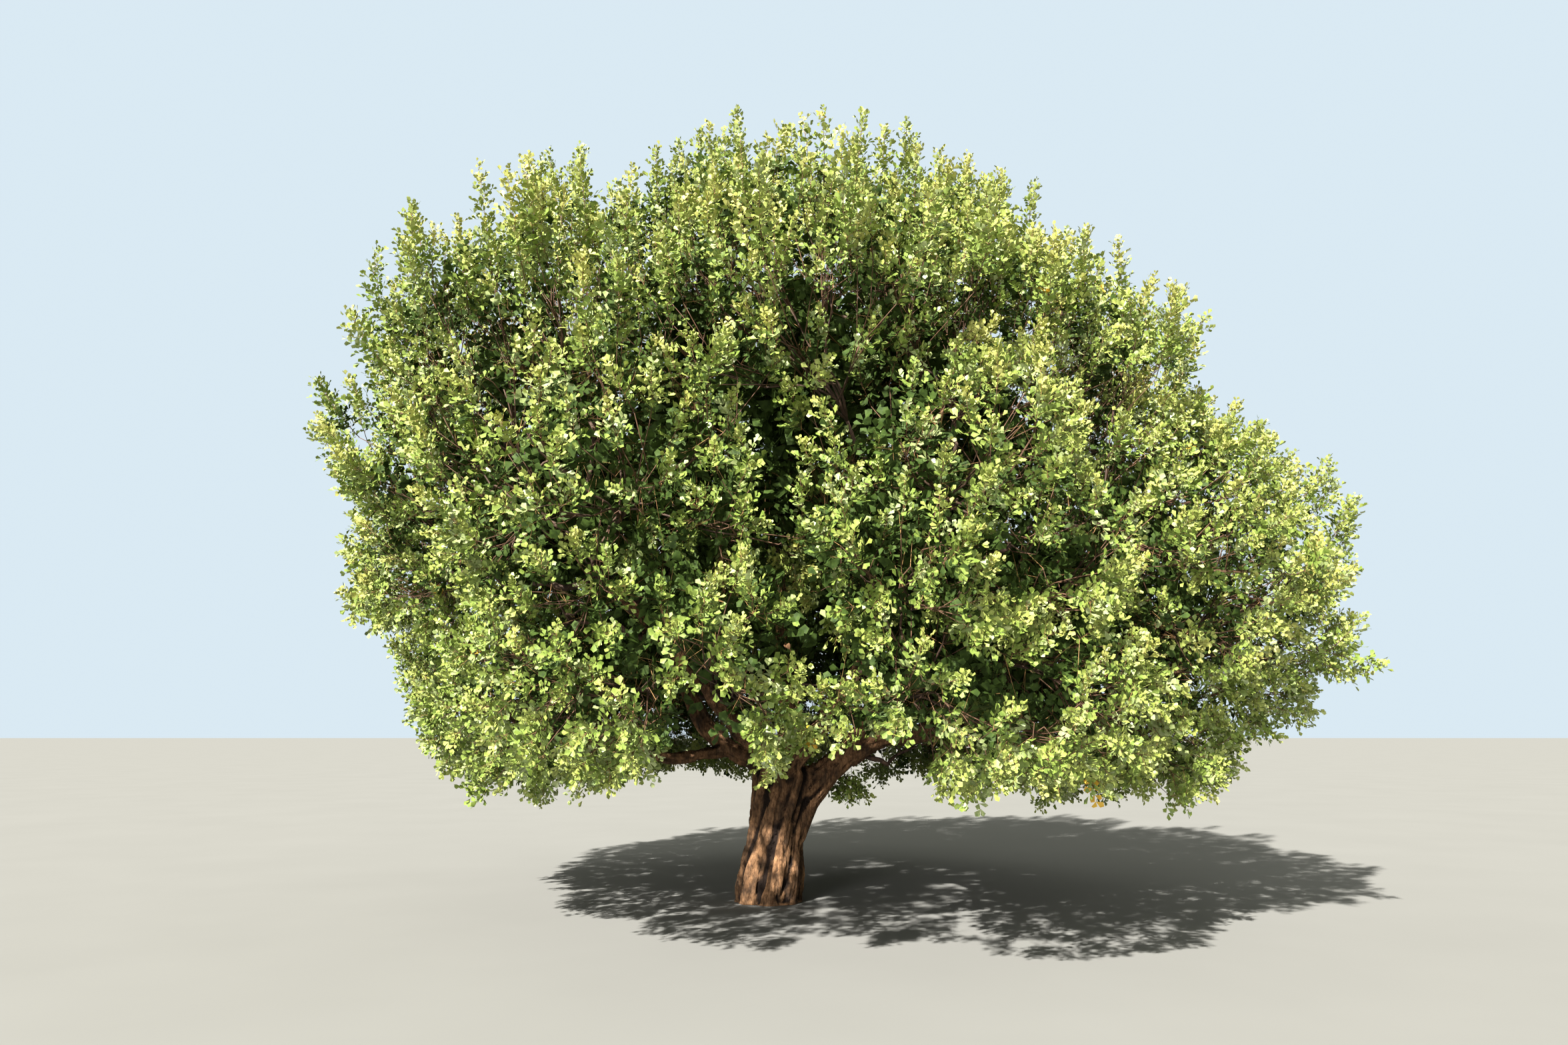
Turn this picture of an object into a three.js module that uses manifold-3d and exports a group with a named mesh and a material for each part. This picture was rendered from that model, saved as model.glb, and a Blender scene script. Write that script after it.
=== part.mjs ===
// A carob tree in full leaf: a short fluted trunk, low spreading boughs and a broad round crown.
// Millimetres, +Z up. The origin is the middle of the flat cut under the trunk, at ground level.
// The tree is described from its front: +X is its right, and +Y runs from the front to the back.
import * as THREE from "three";
import { mergeVertices } from "three/addons/utils/BufferGeometryUtils.js";
import Module from "manifold-3d";

const wasm = await Module();
wasm.setup();

// Driving dimensions of the trunk
const TRUNK_HEIGHT = 1800; // from the ground to where the top rounds over
const FOOT_RADIUS = 475; // at the ground, in the furrows between the ribs
const WAIST_RADIUS = 385; // where the trunk is thinnest
const WAIST_HEIGHT = 1050;
const FORK_RADIUS = 430; // where the boughs leave
const TAPER_CURVE = 1.2; // 1 for straight sides between waist and ends, more for hollow ones
const ROOT_FLARE = 55; // how far the foot spreads past the even taper
const ROOT_FLARE_HEIGHT = 230;
const LEAN_RIGHT = 210; // how far the fork stands to the right of the foot
const LEAN_BACK = 40;
const LEAN_CURVE = 1.3; // 1 for a straight lean, more for a trunk that starts upright
const RIB_COUNT = 7;
const RIB_RISE = 0.085; // height of a rib over the trunk's radius
const RIB_TWIST = 0.7; // how far the ribs turn from foot to fork, in radians
const TRUNK_BULGES = [
  { waves: 2, rise: 0.035, start: 1 },
  { waves: 3, rise: 0.03, start: 2 },
]; // slow swellings round the trunk, over its radius
const DOME_HEIGHT = 260; // the rounded top that the boughs stand on
const DOME_END = 0.45; // the radius at the end of the rounded top, over the trunk's
const TRUNK_SIDES = 4 * RIB_COUNT;
const TRUNK_STEPS = 8;

// Driving dimensions of the boughs
const BOUGH_SIDES = 6;
const BOUGH_STEPS = 6;
const BOUGH_TIP_SHARE = 0.5; // a bough's radius at its tip, over its radius at the fork

// The boughs: the radius at the start, and the line from inside the fork, over each bend, to the tip.
const BOUGHS = [
  {
    name: "bough_right",
    radius: 205,
    line: [[120, 0, 1150], [820, -20, 1740], [1650, -40, 2230], [2500, -150, 2400], [4700, -500, 2700]],
  },
  {
    name: "bough_right_high",
    radius: 150,
    line: [[1000, 0, 1900], [1800, 200, 3000], [3100, 600, 5100]],
  },
  {
    name: "bough_left",
    radius: 155,
    line: [[50, 0, 1800], [-560, 0, 2040], [-960, 0, 2500], [-2100, 100, 5200]],
  },
  {
    name: "bough_left_low",
    radius: 105,
    line: [[-650, 0, 2080], [-1350, -150, 2000], [-4000, -600, 2700]],
  },
  {
    name: "bough_leader",
    radius: 165,
    line: [[190, 40, 1700], [260, 60, 2700], [300, -100, 9200]],
  },
  {
    name: "bough_back_right",
    radius: 155,
    line: [[250, 150, 1750], [1100, 1300, 2900], [2400, 3200, 4500]],
  },
  {
    name: "bough_back_left",
    radius: 155,
    line: [[60, 200, 1750], [-900, 1400, 2900], [-2300, 3300, 4500]],
  },
  {
    name: "bough_front_left",
    radius: 120,
    line: [[60, -80, 1800], [-650, -1100, 2700], [-1900, -3200, 4100]],
  },
  {
    name: "bough_front_right",
    radius: 125,
    line: [[330, -100, 1800], [950, -1200, 2800], [1900, -3200, 4200]],
  },
];

// Driving dimensions of the crown, measured from its middle
const CROWN_MIDDLE = new THREE.Vector3(300, 0, 4600);
const CROWN_REACH = 6950; // to the outermost leaves, where nothing bulges or dips
const SKIRT_BOTTOM = 1520; // the lowest hanging leaves
const MASS_DETAIL = 2; // how finely a mass is faceted
const MASS_CORE = 0.9; // a mass's even size under its lumps, over its full half size
const LUMPS_PER_MASS = 8;
const LUMP_RISE_LEAST = 0.05; // how far a lump stands out, over the size of its mass
const LUMP_RISE_MOST = 0.21;
const LUMP_SPREAD = 0.12; // small for a pointed lump, large for a broad one
const SHOOT_SHARE = 0.13; // the share of a mass's corners that stand up as leafy shoots
const SHOOT_RISE = 0.2; // how far they stand up, over the size of the mass
const SHOOT_LOWEST = -0.3; // the lowest place of such a shoot, over the mass's half height
const MOST_BULGE = 1.5; // the widest that lumps and shoots can make a mass, over its half size
const NEAREST_CUT = 0.15; // how near its middle a neighbour may cut a mass, over the way between them
const TURN_SPREAD = 0.2; // how unevenly a ring's masses are spaced, over their spacing
const ELEVATION_SPREAD = 5; // how unevenly high they lie, in degrees
const SIZE_SPREAD = 0.08; // how unevenly large they are
const SEED_STEP = 101; // between the seeds of a ring's masses

// Where the crown swells past its even reach or falls short of it: where, how far and how broadly.
const SWELLS = [
  { toward: direction(195, 29), by: 750, breadth: 0.07 },
  { toward: direction(200, -22), by: -1200, breadth: 0.09 },
  { toward: direction(-12, -3), by: 1150, breadth: 0.04 },
  { toward: direction(-10, -32), by: -500, breadth: 0.06 },
  { toward: direction(-20, 40), by: -150, breadth: 0.1 },
  { toward: direction(0, 90), by: -150, breadth: 0.15 },
];

// Rings of masses from the hanging skirt to the top. half: half depth, half width and half height.
// tilt: how many degrees higher than its mean a ring lies on the left, and lower on the right.
const RINGS = [
  { name: "skirt", count: 9, elevation: -22, half: [1650, 2100, 1450], start: 12, tilt: 2, seed: 4001 },
  { name: "belt", count: 9, elevation: 3, half: [1950, 2250, 1850], start: 8, tilt: 5, seed: 4978 },
  { name: "shoulder", count: 7, elevation: 31, half: [1950, 2350, 1900], start: 12, tilt: 0, seed: 5955 },
  { name: "top", count: 4, elevation: 59, half: [1850, 2150, 1800], start: 48, tilt: 0, seed: 6932 },
];

// Over the trunk the skirt hangs less low, so that the fork shows from the front.
const FORK_WINDOW = { turn: -84, width: 34, lift: 420 };

// Single masses outside the rings: the low lobes on the right, the peak, and the leaves inside the crown.
const INSIDE = 4100; // how far the inner masses fall short of the crown's outline
const SINGLES = [
  { name: "right_lobe_upper", turn: -12, elevation: 6, half: [1650, 1800, 1600], seed: 7001 },
  { name: "right_lobe_lower", turn: -13, elevation: -9, half: [1700, 1900, 1600], seed: 7132 },
  { name: "peak", turn: -90, elevation: 88, half: [1900, 2000, 1500], lift: 400, seed: 7263 },
  { name: "core_left", turn: 170, elevation: 30, half: [INSIDE, 1900, 1900], detail: 1, seed: 7394 },
  { name: "core_right", turn: 10, elevation: 30, half: [INSIDE, 1900, 1900], detail: 1, seed: 7525 },
  { name: "core_front", turn: -90, elevation: 30, half: [INSIDE, 1900, 1900], detail: 1, seed: 7656 },
];

const GAP = 0.3; // between pieces that touch
const WELD = 1e-3; // vertices nearer than this are one

// Reddish brown bark, furrowed and dull.
function bark() {
  return new THREE.MeshStandardMaterial({ color: 0x6e5443, roughness: 0.92, metalness: 0 });
}

// Leathery leaves, from dark green where they hang low to fresh green at the top of the crown.
function leaves(height) {
  const share = THREE.MathUtils.clamp(height / (CROWN_MIDDLE.z + CROWN_REACH), 0, 1);
  const color = new THREE.Color(0x46652a).lerp(new THREE.Color(0x6c8c38), share);
  return new THREE.MeshStandardMaterial({ color, roughness: 0.55, metalness: 0 });
}

// The middle of the trunk at a height, as it leans.
function trunkMiddle(height) {
  const share = height / TRUNK_HEIGHT;
  return new THREE.Vector3(LEAN_RIGHT * share ** LEAN_CURVE, LEAN_BACK * share, height);
}

// A repeatable stream of numbers between 0 and 1, so that the tree never changes between builds.
function numbersFrom(seed) {
  const MODULUS = 2147483647;
  const MULTIPLIER = 16807;
  let state = seed;
  const next = () => {
    state = (state * MULTIPLIER) % MODULUS;
    return state / MODULUS;
  };
  next();
  next();
  return next;
}

// A closed geometry as a solid that can be cut.
function solidOf(geometry) {
  geometry.deleteAttribute("normal");
  geometry.deleteAttribute("uv");
  const merged = mergeVertices(geometry, WELD);
  return new wasm.Manifold(
    new wasm.Mesh({
      numProp: 3,
      vertProperties: merged.getAttribute("position").array,
      triVerts: new Uint32Array(merged.index.array),
    }),
  );
}

// A named mesh of a solid.
function meshOf(name, solid, material) {
  const cut = solid.getMesh();
  const geometry = new THREE.BufferGeometry();
  geometry.setAttribute("position", new THREE.BufferAttribute(cut.vertProperties, cut.numProp));
  geometry.setIndex(new THREE.BufferAttribute(cut.triVerts, 1));
  geometry.computeVertexNormals();
  const mesh = new THREE.Mesh(geometry, material);
  mesh.name = name;
  return mesh;
}

// The largest body of a solid that a cut may have left in pieces.
function largestBody(solid) {
  return solid.decompose().reduce((a, b) => (b.volume() > a.volume() ? b : a));
}

// A closed cylinder with every vertex moved to place(share of the height, angle, share of the radius).
function shapedCylinder(sides, steps, place) {
  const geometry = new THREE.CylinderGeometry(1, 1, 1, sides, steps);
  const position = geometry.getAttribute("position");
  for (let i = 0; i < position.count; i += 1) {
    const across = position.getX(i);
    const along = position.getZ(i);
    const side = Math.round((Math.atan2(across, along) / (2 * Math.PI)) * sides);
    const angle = (((side % sides) + sides) % sides) * ((2 * Math.PI) / sides) - Math.PI / 2;
    const step = Math.round((position.getY(i) + 0.5) * steps);
    const point = place(step / steps, angle, Math.round(Math.hypot(across, along)));
    position.setXYZ(i, point.x, point.y, point.z);
  }
  return geometry;
}

// The trunk's radius without its ribs: thinnest at the waist, wider at the fork, and flared at the foot.
function trunkRadius(height) {
  const end = height < WAIST_HEIGHT ? 0 : TRUNK_HEIGHT;
  const endRadius = height < WAIST_HEIGHT ? FOOT_RADIUS : FORK_RADIUS;
  const fromWaist = Math.min((height - WAIST_HEIGHT) / (end - WAIST_HEIGHT), 1);
  const flare = ROOT_FLARE * Math.exp(-height / ROOT_FLARE_HEIGHT);
  return WAIST_RADIUS + (endRadius - WAIST_RADIUS) * fromWaist ** TAPER_CURVE + flare;
}

// The trunk: rope-like ribs that turn as they rise, and a rounded top that the boughs stand on.
function trunkSolid(grow) {
  const surface = (share, angle, out) => {
    const height = share * (TRUNK_HEIGHT + DOME_HEIGHT);
    const turned = angle - RIB_TWIST * share;
    const rib = 2 * Math.abs(Math.cos((RIB_COUNT * turned) / 2)) - 1; // -1 in a furrow, 1 on a rib
    const uneven = TRUNK_BULGES.reduce((sum, b) => sum + b.rise * Math.cos(b.waves * turned + b.start), 0);
    const above = Math.max(height - TRUNK_HEIGHT, 0) / DOME_HEIGHT;
    const dome = Math.max(Math.sqrt(1 - above ** 2), DOME_END);
    const radius = trunkRadius(height) * (1 + RIB_RISE * rib + uneven) * dome + grow;
    return trunkMiddle(height + grow * share).add(
      new THREE.Vector3(out * radius * Math.cos(angle), out * radius * Math.sin(angle), 0),
    );
  };
  return solidOf(shapedCylinder(TRUNK_SIDES, TRUNK_STEPS, surface));
}

// One bough: a tapering limb along a smooth line from the fork, over its bends, to its tip in the leaves.
function boughSolid(bough, grow) {
  const line = new THREE.CatmullRomCurve3(bough.line.map((p) => new THREE.Vector3(...p)));
  const frames = line.computeFrenetFrames(BOUGH_STEPS, false);
  const surface = (share, angle, out) => {
    const step = Math.round(share * BOUGH_STEPS);
    const radius = bough.radius * (1 - (1 - BOUGH_TIP_SHARE) * share) + grow;
    return line
      .getPointAt(share)
      .addScaledVector(frames.normals[step], out * radius * Math.cos(angle))
      .addScaledVector(frames.binormals[step], out * radius * Math.sin(angle));
  };
  return solidOf(shapedCylinder(BOUGH_SIDES, BOUGH_STEPS, surface));
}

// The unit ball that every leaf mass starts from, with its shared vertices joined.
function unitBall(detail) {
  const ball = new THREE.IcosahedronGeometry(1, detail);
  ball.deleteAttribute("normal");
  ball.deleteAttribute("uv");
  return mergeVertices(ball, WELD);
}

// A direction from its turn about the trunk and its height over the level, in degrees.
function direction(turn, elevation) {
  const flat = THREE.MathUtils.degToRad(turn);
  const rise = THREE.MathUtils.degToRad(elevation);
  return new THREE.Vector3(
    Math.cos(rise) * Math.cos(flat),
    Math.cos(rise) * Math.sin(flat),
    Math.sin(rise),
  );
}

// The broad lumps of a mass: where each points, and how far it rises.
function lumpsOf(random) {
  return Array.from({ length: LUMPS_PER_MASS }, () => ({
    toward: direction(360 * random(), THREE.MathUtils.radToDeg(Math.asin(2 * random() - 1))),
    rise: LUMP_RISE_LEAST + (LUMP_RISE_MOST - LUMP_RISE_LEAST) * random(),
  }));
}

// One mass of leaves as an uneven closed ball, with broad lumps all over and shoots that stand up.
function massSolid(mass, grow) {
  const random = numbersFrom(mass.seed);
  const lumps = lumpsOf(random);
  const geometry = unitBall(mass.detail);
  const position = geometry.getAttribute("position");
  const point = new THREE.Vector3();
  const up = new THREE.Vector3(0, 0, 1);
  for (let i = 0; i < position.count; i += 1) {
    point.fromBufferAttribute(position, i).normalize();
    const lumpRise = (lump) => lump.rise * Math.exp((point.dot(lump.toward) - 1) / LUMP_SPREAD);
    const lift = lumps.reduce((sum, lump) => sum + lumpRise(lump), 0);
    const shoot = random() < SHOOT_SHARE && point.z > SHOOT_LOWEST ? SHOOT_RISE : 0;
    point.multiply(mass.half).multiplyScalar(MASS_CORE + lift + shoot);
    point.setLength(point.length() + grow);
    point.applyAxisAngle(up, mass.turn).add(mass.centre);
    point.z = Math.max(point.z, mass.floor);
    position.setXYZ(i, point.x, point.y, point.z);
  }
  return solidOf(geometry);
}

// How far a mass reaches from its centre along a direction, as a plain ellipsoid.
function reachAlong(mass, toward) {
  const local = toward.clone().applyAxisAngle(new THREE.Vector3(0, 0, 1), -mass.turn);
  return 1 / local.divide(mass.half).length();
}

// Keeps only the part of a solid on this mass's side of the flat that parts it from another mass.
function parted(solid, mass, other, gap) {
  const toOther = other.centre.clone().sub(mass.centre);
  const apart = toOther.length();
  toOther.normalize();
  const own = reachAlong(mass, toOther);
  const theirs = reachAlong(other, toOther);
  const share = (apart ** 2 + own ** 2 - theirs ** 2) / (2 * apart);
  const nearest = NEAREST_CUT * apart;
  const flat = toOther.dot(mass.centre) + THREE.MathUtils.clamp(share, nearest, apart - nearest);
  const keep = toOther.clone().negate();
  return solid.trimByPlane([keep.x, keep.y, keep.z], -flat + gap);
}

// The farthest that a mass reaches from its middle, for telling which masses may meet.
function farthest(mass) {
  return Math.max(mass.half.x, mass.half.y, mass.half.z) * MOST_BULGE;
}

// How far the crown reaches from its middle in a direction.
function crownReach(toward) {
  const swellBy = (swell) => swell.by * Math.exp((toward.dot(swell.toward) - 1) / swell.breadth);
  return SWELLS.reduce((sum, swell) => sum + swellBy(swell), CROWN_REACH);
}

// A mass whose outer side lies on the crown's outline in the given direction.
function crownMass({ name, turn, elevation, half, seed, lift = 0, detail = MASS_DETAIL }) {
  const toward = direction(turn, elevation);
  const inward = crownReach(toward) - half[0];
  const centre = CROWN_MIDDLE.clone().addScaledVector(toward, inward);
  centre.z += lift;
  return {
    name,
    centre,
    half: new THREE.Vector3(...half),
    turn: THREE.MathUtils.degToRad(turn),
    seed,
    detail,
    floor: SKIRT_BOTTOM + lift,
  };
}

// Every mass of a ring, each turned a little and sized a little differently.
function ringMasses(ring) {
  const random = numbersFrom(ring.seed);
  return Array.from({ length: ring.count }, (_, i) => {
    const turn = ring.start + (360 / ring.count) * (i + TURN_SPREAD * (random() - 0.5));
    const leftward = -Math.cos(THREE.MathUtils.degToRad(turn));
    const elevation = ring.elevation + ring.tilt * leftward + ELEVATION_SPREAD * (random() - 0.5);
    const size = 1 + SIZE_SPREAD * (random() - 0.5);
    const offWindow = THREE.MathUtils.euclideanModulo(turn - FORK_WINDOW.turn + 180, 360) - 180;
    const low = ring.name === "skirt" && Math.abs(offWindow) < FORK_WINDOW.width;
    return crownMass({
      name: `${ring.name}_${i + 1}`,
      turn,
      elevation,
      half: ring.half.map((length) => length * size),
      seed: ring.seed + SEED_STEP * (i + 1),
      lift: low ? FORK_WINDOW.lift : 0,
    });
  });
}

// A single mass is no deeper than it is wide, however far it lies inside the crown.
function singleMass(single) {
  const mass = crownMass(single);
  mass.half.x = Math.min(mass.half.x, mass.half.y);
  return mass;
}

const masses = [...RINGS.flatMap(ringMasses), ...SINGLES.map(singleMass)];

// A mass's own share of the crown, cut flat where it meets its neighbours.
function massBody(mass, grow, gap) {
  return masses
    .filter((other) => other !== mass)
    .filter((other) => other.centre.distanceTo(mass.centre) < farthest(mass) + farthest(other))
    .reduce((solid, other) => parted(solid, mass, other, gap), massSolid(mass, grow));
}

const tree = new THREE.Group();
tree.add(meshOf("trunk", trunkSolid(0), bark()));

// What the boughs are cut back from: the trunk, every leaf mass, and the boughs already made.
let taken = masses.reduce((all, mass) => all.add(massBody(mass, GAP, 0)), trunkSolid(GAP));
for (const bough of BOUGHS) {
  const body = largestBody(boughSolid(bough, 0).subtract(taken));
  tree.add(meshOf(bough.name, body, bark()));
  taken = taken.add(boughSolid(bough, GAP));
}

for (const mass of masses) {
  tree.add(meshOf(mass.name, massBody(mass, 0, GAP / 2), leaves(mass.centre.z)));
}

export default tree;
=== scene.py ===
"""Looks of a carob tree in full leaf: furrowed bark, branches, and shoots of compound leaves.

Metres, +Z up. The origin is the middle of the flat cut under the trunk, at ground level, and the tree's
front faces -Y. The limbs follow the lines of the solid boughs, and the leafy shoots stand on the outer
sides of the solid masses of leaves.
"""
import logging
import math
from dataclasses import dataclass
from enum import Enum

import bpy
import numpy as np
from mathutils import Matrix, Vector, noise
from mathutils.bvhtree import BVHTree
from mathutils.kdtree import KDTree


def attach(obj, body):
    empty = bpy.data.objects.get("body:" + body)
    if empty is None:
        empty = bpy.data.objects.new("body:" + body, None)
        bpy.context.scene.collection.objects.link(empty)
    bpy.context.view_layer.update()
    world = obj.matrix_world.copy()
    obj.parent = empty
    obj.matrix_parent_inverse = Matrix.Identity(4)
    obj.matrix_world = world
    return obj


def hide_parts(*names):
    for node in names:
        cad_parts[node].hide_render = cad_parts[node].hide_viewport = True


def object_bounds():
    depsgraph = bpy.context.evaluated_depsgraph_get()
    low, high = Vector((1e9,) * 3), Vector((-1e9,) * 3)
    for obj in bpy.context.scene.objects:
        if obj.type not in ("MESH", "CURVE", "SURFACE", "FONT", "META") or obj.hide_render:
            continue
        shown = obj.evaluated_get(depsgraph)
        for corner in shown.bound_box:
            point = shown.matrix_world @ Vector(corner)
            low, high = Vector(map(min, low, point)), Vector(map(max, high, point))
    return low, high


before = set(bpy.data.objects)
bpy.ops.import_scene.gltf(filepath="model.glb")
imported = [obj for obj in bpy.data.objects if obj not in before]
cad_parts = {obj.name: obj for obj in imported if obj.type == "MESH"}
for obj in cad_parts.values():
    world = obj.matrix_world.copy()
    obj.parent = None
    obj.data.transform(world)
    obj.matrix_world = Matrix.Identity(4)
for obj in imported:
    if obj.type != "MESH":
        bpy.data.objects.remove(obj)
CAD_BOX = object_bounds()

logging.basicConfig(level=logging.INFO, format="%(message)s")
log = logging.getLogger("carob_tree")

Array = np.ndarray
Random = np.random.Generator
Pair = tuple[float, float]
Triple = tuple[float, float, float]
Piece = bpy.types.Object
Socket = bpy.types.NodeSocket

UP = np.array([0.0, 0.0, 1.0])
GOLDEN_ANGLE = math.radians(137.5)
EYE = np.array([0.22, -15.7, 2.3])
SUN_FROM = (-0.5, -1.0, 0.87)
HEM = 1.76
STEPS_BETWEEN_KNOTS = 24


class Zone(Enum):
    """A level of the crown. Each zone's leaves are pieces of their own."""

    SKIRT = "skirt"
    BELT = "belt"
    DOME = "dome"
    INSIDE = "inside"


class LeafAgeAndLight(Enum):
    """What a leaf looks like, by its age and its place on the shoot, and by painted light: shoots given more
    painted light get the lighter finishes, those given less the darker ones.
    """

    YOUNG = "young"
    FRESH = "fresh"
    MATURE = "mature"
    GLOSSY = "glossy"
    SHADED = "shaded"
    YELLOWED = "yellowed"


class LeafForm(Enum):
    """A leaf's shape: blunt leaflets at a shoot's tip, pointed ones along it, and few large ones inside."""

    BLUNT = "blunt"
    POINTED = "pointed"
    INNER = "inner"


ZONE_OF_MASS = {
    "skirt": Zone.SKIRT,
    "belt": Zone.BELT,
    "right_lobe": Zone.BELT,
    "shoulder": Zone.DOME,
    "top": Zone.DOME,
    "peak": Zone.DOME,
    "core": Zone.INSIDE,
}


def number_of(option: Enum) -> int:
    """An option's number among the options of its kind."""
    return list(type(option)).index(option)


# Sums on arrays of vectors

def unit(vectors: Array) -> Array:
    """Vectors scaled to a length of one."""
    return vectors / np.maximum(np.linalg.norm(vectors, axis=-1, keepdims=True), 1e-9)


def dot(a: Array, b: Array) -> Array:
    """The dot product of each pair of vectors, kept as a last axis of one."""
    return np.sum(a * b, axis=-1, keepdims=True)


def square_to(axes: Array, vectors: Array) -> Array:
    """The unit vectors square to the axes that are nearest to the given ones."""
    return unit(vectors - axes * dot(vectors, axes))


def blend(a: Array | float, b: Array | float, share: Array | float) -> Array | float:
    """The value that lies the given share of the way from a to b."""
    return a + (b - a) * share


def smooth_step(value: Array, low: float, high: float) -> Array:
    """Rises smoothly from 0 at low to 1 at high."""
    share = np.clip((value - low) / (high - low), 0.0, 1.0)
    return share * share * (3.0 - 2.0 * share)


def noise_at(points: Array, size: float, offset: float = 0.0) -> Array:
    """Smooth noise between about -1 and 1, with swells of the given size, moved by the offset."""
    return np.array([noise.noise(Vector(p)) for p in points / size + offset])


def length_along(line: Array) -> Array:
    """How far along the line each of its points lies."""
    return np.concatenate([[0.0], np.cumsum(np.linalg.norm(np.diff(line, axis=0), axis=1))])


def smooth_line(knots: Array, count: int) -> Array:
    """Places along a smooth line through knots, by the same centripetal rule as the solid boughs.

    Args:
        knots: The points that the line runs through, as rows.
        count: How many places, evenly spaced along the line.

    Returns:
        The places, as rows.
    """
    ends = np.vstack([2 * knots[0] - knots[1], knots, 2 * knots[-1] - knots[-2]])
    dense = []
    for i in range(len(knots) - 1):
        p = ends[i:i + 4]
        t = np.concatenate([[0.0], np.cumsum(np.sqrt(np.linalg.norm(np.diff(p, axis=0), axis=1)))])
        at = np.linspace(t[1], t[2], STEPS_BETWEEN_KNOTS, endpoint=False)[:, None]
        first = [blend(p[k], p[k + 1], (at - t[k]) / (t[k + 1] - t[k])) for k in range(3)]
        second = [blend(first[k], first[k + 1], (at - t[k]) / (t[k + 2] - t[k])) for k in range(2)]
        dense.append(blend(second[0], second[1], (at - t[1]) / (t[2] - t[1])))
    dense = np.vstack([*dense, knots[-1:]])
    length = length_along(dense)
    at = np.linspace(0.0, length[-1], count)
    return np.stack([np.interp(at, length, dense[:, axis]) for axis in range(3)], axis=1)


def frames_along(lines: Array, upright: float = 0.8) -> tuple[Array, Array, Array]:
    """The direction of each line at each of its points, and two directions square to it.

    Args:
        lines: Lines of equally many points, shape (lines, points, 3).
        upright: How steep a line is that takes Y as its reference instead of Z.

    Returns:
        Along, across and over, each of the same shape as the lines.
    """
    along = unit(np.gradient(lines, axis=1))
    mean = np.abs(unit(lines[:, -1] - lines[:, 0]))[:, None, :]
    reference = np.where(mean[..., 2:] > upright, np.array([0.0, 1.0, 0.0]), UP)
    across = unit(np.cross(reference, along))
    return along, across, np.cross(along, across)


def nearest(targets: Array, places: Array) -> tuple[Array, Array]:
    """The nearest target of each place.

    Args:
        targets: The places to look among, as rows.
        places: The places to look from.

    Returns:
        The number of each one's nearest target, and the distance to it.
    """
    tree = KDTree(len(targets))
    for number, target in enumerate(targets):
        tree.insert(target, number)
    tree.balance()
    found = [tree.find(place)[1:] for place in places]
    return np.array([number for number, _ in found]), np.array([gap for _, gap in found])


def thinned(places: Array, spacing: Array) -> Array:
    """Chooses places so that no two lie nearer than their spacing.

    Args:
        places: The places, in order of choice.
        spacing: The least distance from each to the others.

    Returns:
        The numbers of the chosen places.
    """
    grid: dict[tuple, list[int]] = {}
    chosen = []
    keys = np.floor(places / float(spacing.max())).astype(int)
    around = [(x, y, z) for x in (-1, 0, 1) for y in (-1, 0, 1) for z in (-1, 0, 1)]
    for number, key in enumerate(map(tuple, keys)):
        near = [k for x, y, z in around for k in grid.get((key[0] + x, key[1] + y, key[2] + z), ())]
        if near:
            gaps = np.sum((places[near] - places[number]) ** 2, axis=1)
            if gaps.min() < spacing[number] ** 2:
                continue
        grid.setdefault(key, []).append(number)
        chosen.append(number)
    return np.array(chosen)


def gathered(places: Array, groups: int, random: Random, rounds: int = 7) -> tuple[Array, Array]:
    """Gathers places into groups of neighbours.

    Args:
        places: The places, as rows.
        groups: How many groups.
        random: Chooses the first middles.
        rounds: How often the middles are moved.

    Returns:
        The number of each place's group, and each group's middle.
    """
    middles = places[random.choice(len(places), groups, replace=False)]
    for _ in range(rounds):
        gaps = ((places[:, None] - middles[None]) ** 2).sum(-1)
        labels = gaps.argmin(1)
        for group in range(groups):
            members = places[labels == group]
            if len(members):
                middles[group] = members.mean(0)
    return labels, middles


@dataclass
class Rows:
    """Arrays that have one row for each of the same things."""

    def chosen(self, which: Array) -> "Rows":
        """Some of the things, by number or by true and false."""
        return type(self)(*(getattr(self, name)[which] for name in self.__dataclass_fields__))

    @classmethod
    def together(cls, sets: list["Rows"]) -> "Rows":
        """Several sets of the same kind of things as one."""
        return cls(*(np.concatenate([getattr(s, name) for s in sets]) for name in cls.__dataclass_fields__))


# Meshes from arrays

def read(items: bpy.types.bpy_prop_collection, field: str, width: int, kind: type = float) -> Array:
    """A field of every item of a mesh.

    Args:
        items: The mesh's vertices, edges or triangles.
        field: The field's name.
        width: How many values it has in each item.
        kind: What kind of number they are.

    Returns:
        The values, a row for each item.
    """
    values = np.zeros(len(items) * width, kind)
    items.foreach_get(field, values)
    return values.reshape(-1, width)


def linked(name: str, data: bpy.types.ID) -> Piece:
    """A new object in the scene.

    Args:
        name: Its name.
        data: Its mesh, camera or lamp.

    Returns:
        The object.
    """
    made = bpy.data.objects.new(name, data)
    bpy.context.scene.collection.objects.link(made)
    return made


def mesh_from_arrays(name: str, points: Array, *face_sets: Array) -> Piece:
    """A mesh object of many small things.

    Args:
        name: The piece's name.
        points: The vertices, as rows.
        *face_sets: Rows of vertex numbers, three or four in each row of a set.

    Returns:
        The object, linked to the scene.
    """
    corners = np.concatenate([faces.ravel() for faces in face_sets])
    sizes = np.concatenate([np.full(len(faces), faces.shape[1]) for faces in face_sets])
    mesh = bpy.data.meshes.new(name)
    mesh.vertices.add(len(points))
    mesh.vertices.foreach_set("co", points.astype(np.float32).ravel())
    mesh.loops.add(len(corners))
    mesh.loops.foreach_set("vertex_index", corners.astype(np.int32))
    mesh.polygons.add(len(sizes))
    mesh.polygons.foreach_set("loop_start", (np.cumsum(sizes) - sizes).astype(np.int32))
    mesh.update(calc_edges=True)
    return linked(name, mesh)


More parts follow.
